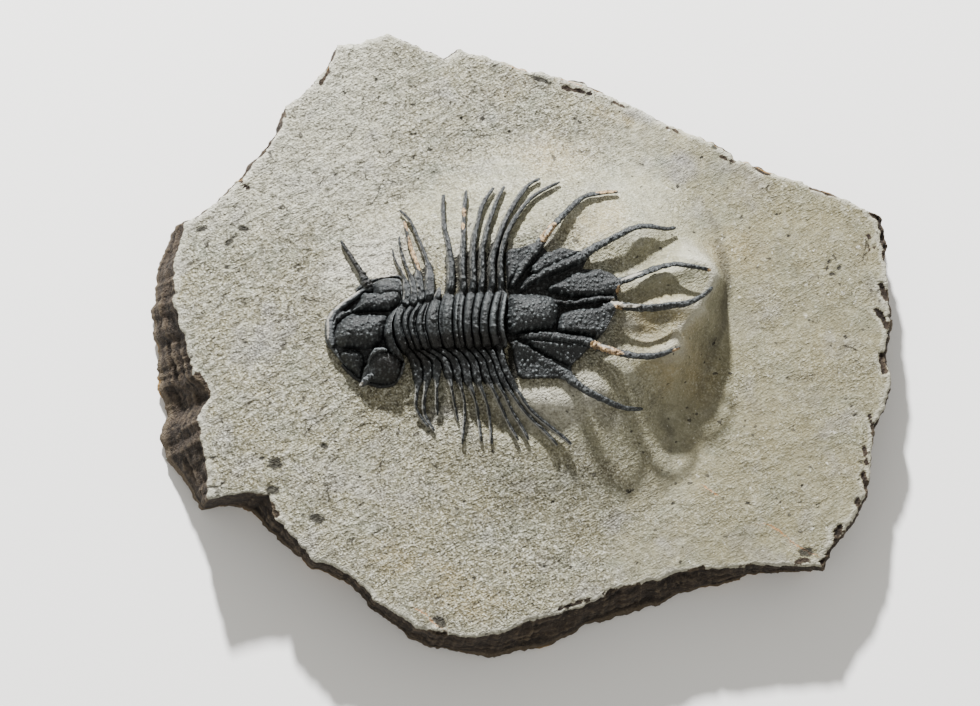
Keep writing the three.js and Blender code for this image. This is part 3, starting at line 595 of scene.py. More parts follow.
def flankLoop(rim, out, down):
    # the flank at one share of the way down: layers that stand out and draw back, over lumps and a slope
    x, y, z = rim[:, 0], rim[:, 1], rim[:, 2] * (1 - down)
    layer = np.floor((z + lumps(x, y, 0, slab["layerBend"])) / slab["layerHigh"])
    bulge = lumps(x, y, layer * 37, slab["layerOut"])
    for squeeze, row in slab["flankLumps"]:
        bulge = bulge + lumps(x, y, z * squeeze, [row])
    bulge = smoothstep(down / 0.1) * bulge * (1 - 0.55 * smoothstep((down - 0.6) / 0.3))
    grow = 1 + (out * np.interp(down, *slab["flankShare"]) + bulge) / reachFrom(slab["centre"], rim)
    return np.column_stack([*outFrom(slab["centre"], rim, grow), z])


def makeSlab():
    half, centre = slab["half"], slab["centre"]
    ring, around = squareNet(half)
    edge = walk(ruggedOutline(), around, centre)
    x, y = outFrom(centre, edge, ring)
    z, marks = stoneTop(x, y, (1 - ring) * reachFrom(centre, edge))
    net = np.column_stack([x, y, z])
    border = netBorder(half)
    rim = net[border]
    loops, gold = [], []
    for down in np.linspace(0, 1 - slab["footShare"], slab["flankRows"])[1:] ** 1.05:
        loops.append(flankLoop(rim, edge[border, 2], down))
        # a golden lower rim on the flank: golden stone, and painted highlight
        veined = smoothstep(noise(rim[:, 0], rim[:, 1], 0, 8, 77) * 3 + 0.2)
        gold.append(smoothstep((down - 0.84) / 0.05) * veined)
    foot = loops[-1]
    inset = 1 - slab["footInset"] / reachFrom(centre, foot)
    loops.append(np.column_stack([*outFrom(centre, foot, inset), np.zeros(len(foot))]))
    obj = makeObject("matrix_stone", closeNet(net, half, loops, (*centre, 0.0)), slab["reliefRounds"])
    extra = len(obj.data.vertices) - len(net)
    for name, values in marks.items():
        rest = np.full(extra, 1.0 if name == "broken" else 0.0)
        if name == "gold":
            rest[:len(border) * len(gold)] = np.concatenate(gold)
        storeValues(obj, name, np.concatenate([values, rest]))
    return obj


# Sweeps, for whatever is long and thin

def sideways(line):
    # for each place on a line, one unit to the right
    ahead = np.gradient(line[:, :2], axis=0)
    ahead /= np.hypot(*ahead.T)[:, None]
    return np.column_stack([ahead[:, 1], -ahead[:, 0]])


def roundBack(a):
    # the height of a round bar at each place across it, from -1 to 1
    return np.sqrt(np.clip(1 - a * a, 0, 1))


def acrossPlaces(topCount, belowCount):
    # places round a section, over the top and back below, by how far across they lie
    below = np.linspace(math.pi, 2 * math.pi, belowCount + 2)[1:-1]
    return np.cos(np.concatenate([np.linspace(0, math.pi, topCount), below]))


def sweptShell(stations, topShape, belowShape, topCount, belowCount):
    # a closed skin along a row of stations x, y, half width, underside, crest
    # topShape gives the share of the height for each place across, belowShape how far the underside bows
    side = sideways(stations)
    across = acrossPlaces(topCount, belowCount)
    x = stations[:, :1] + side[:, :1] * across * stations[:, 2:3]
    y = stations[:, 1:2] + side[:, 1:2] * across * stations[:, 2:3]
    level = ground(x, y)
    low, high = stations[:, 3:4], stations[:, 4:5]
    step = np.arange(len(stations))[:, None]
    net = across + 0 * step
    shape = [topShape(step, net[:, :topCount]), -belowShape(step, net[:, topCount:])]
    z = level + low + (high - low) * np.concatenate(shape, axis=1)
    return np.stack([x, y, z], axis=2)


def closeSkin(rings):
    # point list, quads and end triangles of a skin over a row of rings
    count, size = rings.shape[:2]
    points = rings.reshape(-1, 3)
    loops = np.arange(count * size).reshape(count, size)
    quads = np.vstack([loopFaces(loops[r], loops[r + 1]) for r in range(count - 1)])
    points = np.vstack([points, rings[0].mean(0), rings[-1].mean(0)])
    first, last = len(points) - 2, len(points) - 1
    ends = np.vstack([
        np.column_stack([np.full(size, first), loops[0], np.roll(loops[0], -1)]),
        np.column_stack([np.full(size, last), np.roll(loops[-1], -1), loops[-1]]),
    ])
    return points, quads, ends


# The thorax: eleven rings, each with its pleurae and pleural spines in one piece

thorax = {
    # right end, middle and left end of each axial ring; the animal's right is at the top of the picture
    "rings": [
        ((-28.9, 8.2), (-30.2, 3.8), (-27.8, -1.5)),
        ((-27, 8), (-28.9, 3.7), (-26.6, -1.8)),
        ((-25, 8.6), (-27.4, 3.9), (-25.3, -2.1)),
        ((-23.8, 8.9), (-25.5, 3.8), (-23.5, -2)),
        ((-21.6, 9.6), (-22.9, 3.9), (-21.1, -1.9)),
        ((-18.4, 10.8), (-19.6, 4.2), (-18.3, -1.9)),
        ((-15.6, 10.7), (-16.6, 4), (-15.6, -2)),
        ((-13.2, 10.8), (-14.5, 3.9), (-13.4, -2)),
        ((-11.1, 10.8), (-12.7, 3.9), (-11.6, -1.9)),
        ((-9, 11), (-11, 3.8), (-9.6, -1.9)),
        ((-6.3, 11.2), (-8.3, 3.8), (-6.9, -1.9)),
    ],
    "right": [
        [(-28.1, 11.1), (-28.3, 13.6), (-29, 16.1), (-30.3, 19.3), (-31, 21.4), (-31.2, 22.9)],
        [(-26.7, 11.1), (-26.9, 14.3), (-28.1, 18), (-29.1, 21.8), (-29.6, 24.7), (-29.5, 26)],
        [(-25.2, 11.4), (-25.5, 14.2), (-25.6, 17.7), (-26.6, 21.5), (-27.5, 25.3), (-28.1, 29),
         (-28.4, 30)],
        [(-23.1, 10.8), (-22.9, 13.3), (-22.9, 16.9), (-24.1, 21.7), (-25.6, 26.3), (-26.9, 29.8),
         (-28.6, 32.1), (-29.2, 32.8)],
        [(-21.1, 10.9), (-20.9, 11.6), (-20.8, 12.5)],
        [(-18.1, 12.9), (-17.9, 17.2), (-18.3, 22.6), (-19.1, 27.6), (-19.1, 33), (-18.8, 36.3)],
        [(-15.1, 12.8), (-15.3, 17), (-15, 22.4), (-14.8, 26.1), (-14.3, 31.8), (-13.5, 37)],
        [(-12.8, 13.5), (-12.9, 18.7), (-12.4, 24.1), (-11.5, 27.7), (-10.4, 31.9), (-9.1, 34.5),
         (-7.1, 37.4)],
        [(-10.7, 15.1), (-10.7, 20.4), (-9.9, 23.9), (-9, 27.6), (-7.6, 31.3), (-6.4, 34.3), (-4.6, 37.6)],
        [(-8.4, 13.3), (-8.4, 18.5), (-7.2, 22.7), (-5.6, 27.1), (-3.6, 31.1), (-1.2, 35), (1.3, 38),
         (4.1, 39.8)],
        [(-6.3, 13.3), (-6.4, 18.1), (-5.7, 22.4), (-4.3, 26), (-2, 29.9), (1.1, 33.9), (4.4, 36.4),
         (8.8, 38.9)],
    ],
    "left": [
        [(-26.3, -4.4), (-25.5, -8.4), (-25.9, -11.8), (-26, -14.8), (-25.1, -16.8), (-23.1, -19.5)],
        [(-24, -4.1), (-23.4, -7.4), (-24, -11.9), (-24.2, -14.8), (-23.5, -17.6), (-21.7, -20.5)],
        [(-21.7, -4.2), (-21.3, -8.2), (-21.3, -12), (-21, -16.8)],
        [(-19.6, -4.3), (-18.4, -8.3), (-17.8, -11.5), (-17, -14.9), (-16.2, -18.3)],
        [(-17.6, -4.4), (-16.3, -8.5), (-15.5, -11.6), (-14.8, -14.3), (-14.7, -17.6), (-15, -20.5),
         (-15.3, -23.7)],
        [(-15.4, -4.5), (-14.3, -8.6), (-13.2, -11.6), (-12.2, -14.3), (-11.5, -17.5), (-10.8, -23.2)],
        [(-13, -4.7), (-12, -8.7), (-11.1, -11.2), (-9.8, -14.2), (-8.9, -17.5), (-8.4, -23.9)],
        [(-11.1, -4.8), (-9.9, -8.4), (-8.5, -11.3), (-7.5, -13.2), (-6.4, -15.3), (-5.3, -17.5),
         (-4.2, -19.7), (-2.2, -23.2)],
        [(-9.4, -4.9), (-8.3, -8), (-6.9, -10.9), (-5.5, -13.1), (-4.3, -15.5), (-3.3, -17.2),
         (-1.8, -19.5), (0.2, -23.2)],
        [(-7.9, -5), (-6.7, -8.1), (-5.3, -10.7), (-3.7, -13.1), (-2.1, -15.2), (-0.6, -17), (1.1, -18.8),
         (3.6, -21.1), (6.9, -24.6)],
        [(-6.4, -5), (-5.1, -8.1), (-3.5, -10.9), (-1.9, -13.2), (-0.4, -15.4), (1.7, -17.6), (4.7, -20),
         (7.6, -22.3), (10.2, -24.4)],
    ],
    # half widths in mm of each pleura and of its spine, and where along it the one turns to the other
    "rightWidths": [
        (1.1, 0.36, 0.42), (1.1, 0.4, 0.38), (1.15, 0.55, 0.36), (1.2, 0.5, 0.34), (0.9, 0.45, 0.8),
        (0.98, 0.7, 0.4), (0.78, 0.66, 0.4), (0.78, 0.7, 0.6), (0.76, 0.66, 0.6), (0.78, 0.7, 0.6),
        (0.74, 0.6, 0.5),
    ],
    "leftWidths": [
        (1.2, 0.44, 0.45), (1.2, 0.46, 0.42), (1.2, 0.44, 0.5), (1.15, 0.36, 0.48), (1.05, 0.36, 0.4),
        (1.2, 0.4, 0.42), (1.1, 0.4, 0.38), (1, 0.42, 0.36), (0.95, 0.43, 0.35), (0.95, 0.46, 0.35),
        (1, 0.5, 0.34),
    ],
    # across each ring: height between its ridges, then each one's place from front (-1) to rear (1),
    # its half width and its height
    "ridges": [
        (0.72, [(0.15, 0.8, 1)]),
        (0.72, [(0.15, 0.8, 1)]),
        (0.7, [(0.25, 0.65, 1), (-0.7, 0.2, 0.8)]),
        (0.7, [(0.3, 0.6, 1), (-0.65, 0.25, 0.84)]),
        (0.74, [(0.1, 0.85, 1), (-0.7, 0.25, 0.9)]),
        (0.66, [(-0.2, 0.75, 1)]),
        (0.66, [(0.38, 0.36, 0.98), (-0.36, 0.4, 1)]),
        (0.6, [(0.05, 0.8, 1)]),
        (0.6, [(0.05, 0.8, 1)]),
        (0.6, [(0.05, 0.8, 1)]),
        (0.55, [(-0.62, 0.3, 1.06), (0.5, 0.45, 0.96)]),
    ],
    "headEdge": [(-29.3, 17.4), (-29.3, 12), (-29.9, 9.6), (-31.2, 7), (-31.8, 3.8), (-31.2, 0.6),
                 (-29.7, -1.8), (-28, -4.8), (-30.6, -9.6)],
    "tailEdge": [(-5, 20.5), (-5.2, 13.8), (-4.6, 11.3), (-5.4, 8), (-5.9, 3.8), (-5.2, 0), (-4.4, -1.4),
                 (-3.4, -5.6), (-2.3, -8.8)],
    "axisSteps": 84, "spineStep": 0.26, "ringHalf": 2.3, "gap": -0.06, "blockGap": -0.3,
    "ringCrest": 5.3, "furrowCrest": 1.2, "pleuraCrest": 2.5, "leftFall": 0.6, "sunk": -0.35, "lift": 1.25,
    "topCount": 25, "belowCount": 7, "reliefRounds": 16,
    # lumps: size in mm, share of the width or height in mm, seed
    "swell": [(2.1, 0.2, 105), (0.8, 0.2, 106)], "grain": [(0.95, 0.24, 101), (0.45, 0.16, 102)],
}


def arcThrough(a, middle, b, count):
    # an arc that passes through its middle point
    a, middle, b = (np.array(p, float) for p in (a, middle, b))
    control = 2 * middle - (a + b) / 2
    t = np.linspace(0, 1, count)[:, None]
    return a * (1 - t) ** 2 + 2 * control * t * (1 - t) + b * t ** 2


def segmentRoute(index):
    rightEnd, middle, leftEnd = thorax["rings"][index]
    axis = arcThrough(leftEnd, middle, rightEnd, thorax["axisSteps"])
    arms = []
    for base, route in ((leftEnd, thorax["left"][index]), (rightEnd, thorax["right"][index])):
        rows = [base, *route]
        length = sum(math.dist(p, q) for p, q in zip(rows, rows[1:]))
        arms.append(smoothCurve(rows, max(int(length / thorax["spineStep"]), 10)))
    return arms[0][::-1], axis, arms[1]


def nearestGap(points, line):
    # distance from each point to a line of points
    a, b = line[:-1], line[1:]
    along = b - a
    length2 = np.maximum((along ** 2).sum(1), 1e-9)
    t = np.clip(((points[:, None] - a) * along).sum(2) / length2, 0, 1)
    return np.sqrt(((points[:, None] - a - along * t[..., None]) ** 2).sum(2)).min(1)


def evened(values, rounds):
    for _ in range(rounds):
        values = np.convolve(np.pad(values, 1, mode="edge"), (0.25, 0.5, 0.25), mode="valid")
    return values


def ringShape(plan, a):
    base, ridges = plan
    up = np.full(np.shape(a), base + 0.08)
    for at, half, height in ridges:
        up = smoothMax(up, height * np.sqrt(np.clip(1 - ((a - at) / (half * 1.3)) ** 2 * 0.4, 0, 1))
                       - 0.4 * np.clip(np.abs(a - at) / half - 0.8, 0, 1), 0.03)
    return up * np.clip(1 - np.abs(a) ** 12, 0, 1) ** 0.4


def makeSegment(index, routes):
    left, axis, right = routes[index]
    line = np.vstack([left[:-1], axis, right[1:]])
    count, start = len(line), len(left) - 1
    onAxis = np.zeros(count, bool)
    onAxis[start:start + len(axis)] = True
    arch = np.zeros(count)
    arch[onAxis] = np.sqrt(np.clip(1 - np.linspace(-1, 1, len(axis)) ** 2, 0, 1))
    outward = np.zeros(count)
    outward[:len(left)] = np.linspace(1, 0, len(left))
    outward[-len(right):] = np.linspace(0, 1, len(right))
    leftSide = np.arange(count) < start + len(axis) / 2
    pleuraHalf, spineHalf, turnAt = (
        np.where(leftSide, a, b) for a, b in zip(thorax["leftWidths"][index], thorax["rightWidths"][index]))
    spine = smoothstep((outward - turnAt + 0.12) / 0.24)
    tip = smoothstep((outward - 0.94) / 0.06)
    ringness = smoothstep(arch / 0.4)
    widest = between(between(pleuraHalf, thorax["ringHalf"], ringness), spineHalf, spine)
    widest = widest * (1 - 0.35 * tip ** 2) * np.where(leftSide, 1, 1 - 0.3 * outward ** 2)
    # each side reaches half way to its neighbour; the first four are packed closest on the right
    gap = np.where(~leftSide & ~onAxis & (index < 4), thorax["blockGap"], thorax["gap"])
    reach = []
    for other, edge in ((index - 1, "headEdge"), (index + 1, "tailEdge")):
        if 0 <= other < len(routes):
            room = nearestGap(line, np.vstack(routes[other])) / 2
        else:
            room = nearestGap(line, np.array(thorax[edge])) - 0.05
        reach.append(evened(np.minimum(widest, np.maximum(room - gap / 2, 0.22)), 3))
    # the way along runs from the left tip to the right one, with the front to its left
    front, rear = reach
    low = between(thorax["sunk"], thorax["lift"] * (1 - np.where(leftSide, 0.6, 0.15) * outward), spine)
    travelled = distanceAlong(line)
    swell = lumps(travelled, index * 5, 0, thorax["swell"])
    half = (front + rear) / 2 * (1 + swell * (1 - ringness) * between(0.5, 1, spine))
    pleuraHigh = between(thorax["furrowCrest"], thorax["pleuraCrest"], smoothstep(outward / 0.07))
    pleuraHigh = pleuraHigh - leftSide * thorax["leftFall"] * np.clip(outward / turnAt, 0, 1)
    high = np.where(onAxis, between(thorax["furrowCrest"], thorax["ringCrest"], arch ** 0.95),
                    between(pleuraHigh, low + np.maximum(1.1, 1.75 * half), spine))
    high = between(high, low + 0.6, tip ** 2)
    centre = line + sideways(line) * ((rear - front) / 2)[:, None]
    stations = np.column_stack([centre, half, low, evened(high, 2)])
    ridges = thorax["ridges"][index]

    def topShape(step, a):
        s = step[:, 0]
        ring, spined = ringness[s][:, None], spine[s][:, None]
        flatness = np.where(leftSide[s], 5, 7 if index < 5 else 3)[:, None]
        band = np.clip(1 - np.abs(a) ** flatness, 0, 1) ** 0.5
        bar = between(0.4, 1, roundBack(a))
        up = between(between(band, bar, spined), ringShape(ridges, -a), ring)
        place = travelled[s][:, None]
        offset = a * stations[s, 2][:, None]
        size = (stations[s, 4] - stations[s, 3])[:, None]
        grain = lumps(place, offset, index * 9, thorax["grain"])
        pimple = 1.05 * np.clip(noise(place, offset, index * 13, 0.95, 103) - 0.28, 0, 1)
        rubbed = 0.1 * noise(place * 0.4, offset, index * 17, 0.5, 104)
        return up + (grain * (1 - 0.35 * ring) + pimple * (1 - 0.3 * spined) + rubbed * ring) / size

    def belowShape(step, a):
        spined = spine[step[:, 0]][:, None]
        return spined * (0.4 * roundBack(a) - 0.4)

    number = f"{index + 1:02d}"
    rings = sweptShell(stations, topShape, belowShape, thorax["topCount"], thorax["belowCount"])
    obj = makeObject(f"segment_{number}_shell", closeSkin(rings), thorax["reliefRounds"])
    # painted highlight: the front edge of each pleura and spine painted pale, as on its lit side
    frontward = smoothstep((-acrossPlaces(thorax["topCount"], thorax["belowCount"]) - 0.25) / 0.35)
    rubbed = np.where(leftSide, spine, 0.6 * smoothstep(outward / 0.15)) * (1 - ringness)
    storeValues(obj, "edge", np.append(np.outer(rubbed, frontward), (0, 0)))
    return obj, f"thorax_segment_{number}"


# Shields: the head's middle piece and the tail, as fine height fields with walls down into the stone

tail = {
    "half": 130, "centre": (8, 6.5),
    "outline": [
        (-4.9, 12), (-5, 17), (-5, 20), (-4.2, 21.2), (-1.5, 21.6), (0.6, 22.5), (2.6, 22.9), (4.2, 21.8),
        (5.4, 20.6), (7.3, 21.6), (9.4, 21.6), (11.8, 20.9), (13.8, 21.2), (14.8, 20.2), (13.4, 18.6),
        (13.2, 17), (15.9, 16.7), (19.1, 15.8), (20.9, 14.6), (21.9, 12.8), (21.3, 10.6), (21.3, 8.4),
        (20.4, 6.1), (19.3, 4), (18.1, 1.8), (16.3, -0.1), (15.2, -1.8), (13.6, -2.7), (12.4, -4.2),
        (10.9, -5.4), (9.9, -6.8), (10.2, -8.4), (9.3, -9.8), (7.1, -9.3), (3.6, -9.2), (0.2, -9.2),
        (-2.1, -8.8), (-3.2, -5.6), (-3.8, -2.4), (-4.9, 0.2), (-5.5, 3.8), (-5.1, 8), (-4.4, 10.6),
    ],
    # raised pads: outline, height, width of the rounded shoulder
    "pads": [
        ([(-5.6, 11.6), (-5.9, 14), (-5.9, 17), (-5.7, 19.8), (-4.8, 21.5), (-2.2, 22.2), (-0.3, 22.7),
          (1.2, 23.1), (2.8, 23.4), (4.2, 22.9), (3.6, 21.6), (2.2, 20.5), (0.7, 19.6), (-0.5, 18.2),
          (-1.4, 16.7), (-2.6, 15.2), (-3.6, 14), (-4.3, 12.7)], 3.2, 1.1),
        ([(0.1, 15.4), (0.8, 17.2), (2.4, 19), (4.2, 20.3), (6.4, 21.4), (8.9, 21.9), (11, 21.4),
          (13, 21.2), (12, 19.8), (9.4, 18.6), (6.9, 17.4), (4.4, 16.2), (2.2, 15)], 3.6, 1.1),
        ([(4.3, 11.8), (5.4, 12.7), (7.5, 13.5), (9, 14.5), (10.1, 15.2), (11.7, 15.7), (14, 15.9),
          (16, 16.8), (17.8, 16.7), (20.1, 15.9), (21.8, 14.9), (22.8, 13), (22.4, 11.3), (20.8, 10.4),
          (18, 10.1), (15, 9.9), (12, 9.8), (9, 10.1), (7, 10.6), (5.2, 11.2)], 3.7, 1.5),
        ([(6.4, 2), (6.8, 3.4), (7.2, 4.8), (7.9, 5.9), (9, 6.4), (11.2, 6.9), (13.2, 7.1), (15.4, 7.3),
          (18, 7.7), (21, 8.1), (22, 6.9), (21.3, 5.2), (20.4, 3.4), (19.2, 1.2), (17.2, 0.1), (14, 0.6),
          (11, 0.9), (9, 1.1), (7.2, 1.4)], 3.7, 1.5),
        ([(-0.8, -0.2), (1.6, -0.3), (5, -0.4), (8.6, -0.7), (12, -1.2), (15.4, -1.7), (14.6, -3.1),
          (13.4, -4.7), (11.7, -6.2), (9.7, -6.6), (7.3, -5.4), (4.6, -4.2), (2.2, -2.8),
          (0.4, -1.6)], 3.4, 1.1),
        ([(-4.5, -1), (-3.2, -0.4), (-1.2, -1.4), (0.6, -2.5), (2.7, -3.6), (4.9, -4.8), (7, -6.1),
          (9.4, -7.2), (11.4, -8.6), (9.9, -10.8), (7.1, -10.1), (3.6, -10), (0.2, -10), (-2.7, -9.8),
          (-4.2, -5.6)], 3.1, 1.1),
        ([(-5.1, 1.2), (-5.5, 4), (-5.2, 8), (-4.6, 10.3), (-3.2, 10.5), (-1, 10.5), (1.6, 10.5), (4, 10.3),
          (5.6, 9.8), (6.5, 8.9), (7, 7.5), (7, 5.9), (6.6, 4.2), (5.8, 2.8), (4.4, 1.9), (2, 1.5),
          (-1, 1.3), (-3.2, 1)], 5.5, 4.4),
    ],
    # x, y, half width, height over the stone: the ribs' rounded backs, and the beaded ridge behind the axis
    "ribs": [
        [(-3.8, 12.6, 0.6, 3), (-2.9, 14.3, 0.85, 3.5), (-1.7, 16.2, 1, 3.8), (-0.4, 18.1, 1.1, 3.9),
         (1.2, 20.2, 1.2, 3.9), (2.5, 21.9, 1.2, 3.7), (3.6, 23.5, 1.15, 3.3)],
        [(-1.5, 11.7, 0.6, 2.9), (-0.5, 12.9, 0.8, 3.5), (0.5, 13.7, 0.95, 3.8), (2.5, 14.6, 1.05, 4.1),
         (5, 16, 1.15, 4.2), (7.5, 17.1, 1.25, 4.3), (10, 18.2, 1.3, 4.2), (12.4, 19.4, 1.25, 4.1),
         (14.4, 20.6, 1.1, 3.9)],
        [(17.4, 12.6, 0.9, 3.6), (19, 12.8, 1.1, 4), (22, 13.5, 1.1, 3.7)],
        [(17.4, 6.6, 0.9, 3.6), (19, 6.9, 1.1, 3.9), (22, 7.4, 1.05, 3.6)],
        [(-2.3, 0.2, 0.6, 2.8), (-0.6, 0.4, 0.85, 3.4), (1.4, 0.4, 1, 3.8), (4, 0.4, 1.1, 4),
         (7, 0.1, 1.1, 4.1), (9.6, -0.3, 1.1, 4), (12.2, -0.6, 1.15, 3.9), (14.6, -1.1, 1.1, 3.6)],
        [(-3.2, -1.3, 0.7, 2.9), (-1.4, -2.5, 1, 3.5), (0.6, -3.7, 1.15, 3.8), (4.6, -6, 1.2, 3.9),
         (6.5, -7.3, 1.15, 3.8), (8.8, -8.9, 1.1, 3.4)],
        [(5.8, 8.6, 0.8, 3.2), (7, 8.5, 0.6, 3.1), (8.6, 8.3, 0.6, 3.1), (11, 8.4, 0.6, 3.2),
         (13.4, 8.9, 0.65, 3.3), (16, 9.3, 0.65, 3.3), (19.8, 9.5, 0.7, 3.2)],
    ],
    # the free spines: x, y, half width, height of the underside and of the crest over the stone
    "spines": [
        [(1.2, 20.4, 0.7, 0.3, 2.3), (2.5, 22, 1.05, 0.8, 3.3), (3.9, 24, 1, 1, 3.1),
         (5.8, 26.5, 0.82, 1.1, 2.9), (8.4, 29.3, 0.75, 1.1, 2.6), (10.8, 31.8, 0.7, 1, 2.4),
         (13.2, 34.1, 0.66, 1, 2.3), (15.3, 35.4, 0.62, 0.9, 2.1), (17.6, 36, 0.58, 0.9, 2),
         (20.4, 36.6, 0.52, 0.8, 1.8), (23, 36.9, 0.42, 0.8, 1.6)],
        [(10.4, 18, 0.7, 0.8, 2.9), (12.3, 19.2, 1.2, 1, 4), (14.6, 20.8, 1.1, 1.5, 4),
         (16.3, 21.8, 1, 1.9, 4), (19, 23.2, 0.84, 2.2, 4), (21.9, 24.7, 0.8, 2.3, 4),
         (24.3, 26, 0.76, 2.3, 3.9), (26.9, 27, 0.73, 2.2, 3.7), (29.5, 27.3, 0.68, 2.1, 3.5),
         (32.1, 27.2, 0.62, 2, 3.2), (34.3, 27.3, 0.55, 1.9, 2.9), (36.6, 28, 0.45, 1.8, 2.7)],
        [(17.6, 12.4, 0.7, 1, 2.9), (19.6, 12.7, 0.95, 1.3, 3.4), (21.8, 13.5, 0.95, 1.6, 3.5),
         (23.9, 14.1, 0.88, 1.8, 3.5), (26.8, 15.2, 0.82, 2, 3.6), (29.7, 16.4, 0.78, 2.1, 3.7),
         (32.1, 17.1, 0.74, 2.3, 3.9), (34.9, 17.5, 0.66, 2.6, 4), (37.7, 17.1, 0.6, 2.8, 4.1),
         (40.7, 16.7, 0.5, 3, 4.1), (43.4, 16.1, 0.4, 3.2, 4.1)],
        [(17.6, 7.6, 0.7, 1, 2.9), (19.8, 7.9, 0.9, 1.3, 3.3), (21.9, 7.6, 0.9, 1.6, 3.4),
         (24.7, 7.2, 0.85, 1.8, 3.5), (27.9, 7, 0.85, 2, 3.6), (30.8, 7.2, 0.82, 2.1, 3.7),
         (33.6, 7.6, 0.8, 2.3, 3.9), (36.5, 7.9, 0.74, 2.5, 4), (38.9, 8.7, 0.64, 2.8, 4.1),
         (41.5, 10.2, 0.54, 3, 4.1), (43.9, 12.2, 0.42, 3.2, 4.1)],
        [(11.2, -0.6, 0.7, 1, 2.9), (13, -0.9, 1.1, 1.2, 3.8), (14.6, -1.4, 1.1, 1.4, 3.8),
         (16.5, -2.2, 1, 1.7, 3.8), (19.3, -3.1, 0.95, 2, 3.8), (22.1, -3.8, 0.9, 2.3, 4),
         (24.9, -4.3, 0.8, 2.6, 4.1), (27.9, -4.4, 0.74, 3, 4.4), (30.4, -4.1, 0.66, 3.2, 4.5),
         (32.8, -3.2, 0.56, 3.3, 4.4), (36, -1.9, 0.38, 3.3, 4.1)],
        [(5.8, -6.4, 0.7, 0.2, 1.7), (7.2, -7.5, 1, 0.2, 2.1), (8.6, -8.7, 1.1, 0.3, 2.3),
         (10.4, -10.2, 1.05, 0.8, 2.7), (13, -12.1, 0.88, 1.5, 3.2), (15.8, -13.6, 0.8, 2.1, 3.6),
         (18.6, -14.8, 0.72, 2.5, 3.8), (21.1, -15.7, 0.64, 2.3, 3.4), (23.3, -16.1, 0.57, 2, 3),
         (25.4, -16.1, 0.5, 1.7, 2.6), (27.5, -15.8, 0.42, 1.4, 2.2)],
    ],
    "plate": 0.25, "edgeHigh": 1.6, "sunk": -0.4, "lowFrom": -0.8, "lowOver": 4.2, "lowShare": 0.55,
    "reliefRounds": 18, "spineStep": 0.16, "spineSeed": 400, "spinules": (0.45, 0.45, 0.7, 0.7, 0.45, 0.45),
    # tubercles: spacing, radius, height, seed, shift in x, how pale their tops are painted (rubbed shell and
    # painted highlight)
    "grains": [(1.4, 0.46, 0.44, 201, 0, 1), (1.3, 0.26, 0.2, 221, 3, 0.8)],
    # lumps: size in mm, height in mm, seed
    "wobble": [(1.5, 0.2, 211), (0.7, 0.1, 213)], "swell": [(2.4, 0.12, 205)],
    "grit": [(0.8, 0.06, 206), (0.4, 0.03, 207)],
}


def nearestOn(x, y, a, b):
    # for each place: share of the way from a to b at the nearest point, and the distance from it
    along = (b - a)[:2]
    t = np.clip(((x - a[0]) * along[0] + (y - a[1]) * along[1]) / max(along @ along, 1e-9), 0, 1)
    return t, np.hypot(x - a[0] - along[0] * t, y - a[1] - along[1] * t)


def alongRoute(x, y, rows):
    # for each place: distance to a route, and the route's other columns at the nearest point
    line = smoothCurve(rows, 60)
    best = np.full(np.shape(x), 1e9)
    found = np.zeros((*np.shape(x), line.shape[1]))
    for a, b in zip(line[:-1], line[1:]):
        t, away = nearestOn(x, y, a, b)
        nearer = away < best
        best = np.where(nearer, away, best)
        found[nearer] = between(a, b, t[..., None])[nearer]
    return best, found


def ridgeHeight(x, y, rows, foot):
    # a rounded ridge along a route
    away, at = alongRoute(x, y, rows)
    share = np.clip(1 - (away / at[..., 2]) ** 3.4, 0, 1) ** 0.5
    return np.where(share > 0, between(foot, at[..., 3], share), -1)


def depthInside(x, y, outline):
    # distance in from a closed outline, 0 outside it
    corners = smoothCurve(closedRows(outline), 70)
    best = np.full(np.shape(x), 1e9)
    inside = np.zeros(np.shape(x), bool)
    for a, b in zip(corners[:-1], corners[1:]):
        best = np.minimum(best, nearestOn(x, y, a, b)[1])
        crosses = (a[1] > y) != (b[1] > y)
        inside ^= crosses & (x < a[0] + (y - a[1]) / ((b[1] - a[1]) or 1e-9) * (b[0] - a[0]))
    return np.where(inside, best, 0)


def pillowHeight(x, y, outline, high, shoulder, foot):
    # a raised area with a rounded shoulder all round
    depth = depthInside(x, y, outline)
    share = np.sqrt(np.clip(1 - (1 - np.minimum(depth / shoulder, 1)) ** 2, 0, 1))
    return np.where(depth > 0, between(foot, high, share), -1)


def pimples(x, y, spacing, radius, height, seed):
    # raised grains scattered on a jittered net, of mixed sizes
    total = np.zeros(np.shape(x))
    cellX, cellY = np.floor(x / spacing).astype(np.int64), np.floor(y / spacing).astype(np.int64)
    for dx in (-1, 0, 1):
        for dy in (-1, 0, 1):
            ix, iy = cellX + dx, cellY + dy
            px = (ix + 0.15 + 0.7 * scattered(ix, iy, 0 * ix, seed)) * spacing
            py = (iy + 0.15 + 0.7 * scattered(ix, iy, 0 * ix, seed + 1)) * spacing
            size = 0.35 + 0.85 * scattered(ix, iy, 0 * ix, seed + 2)
            away = np.hypot(x - px, y - py) / (radius * (0.6 + 0.4 * size))
            total = np.maximum(total, height * size * np.clip(1 - away ** 2, 0, 1) ** 1.2)
    return total


def tubercles(x, y, rows, column):
    # all the grains of a shield; the column picks their height or how far they are rubbed
    most = np.zeros(np.shape(x))
    for row in rows:
        most = np.maximum(most, pimples(x + row[4], y, row[0], row[1], row[column], row[3]))
    return most


def wobbled(x, y, plan):
    return x + lumps(x, y, 0, plan["wobble"]), y + lumps(x, y, 0, plan["wobble"], 1)


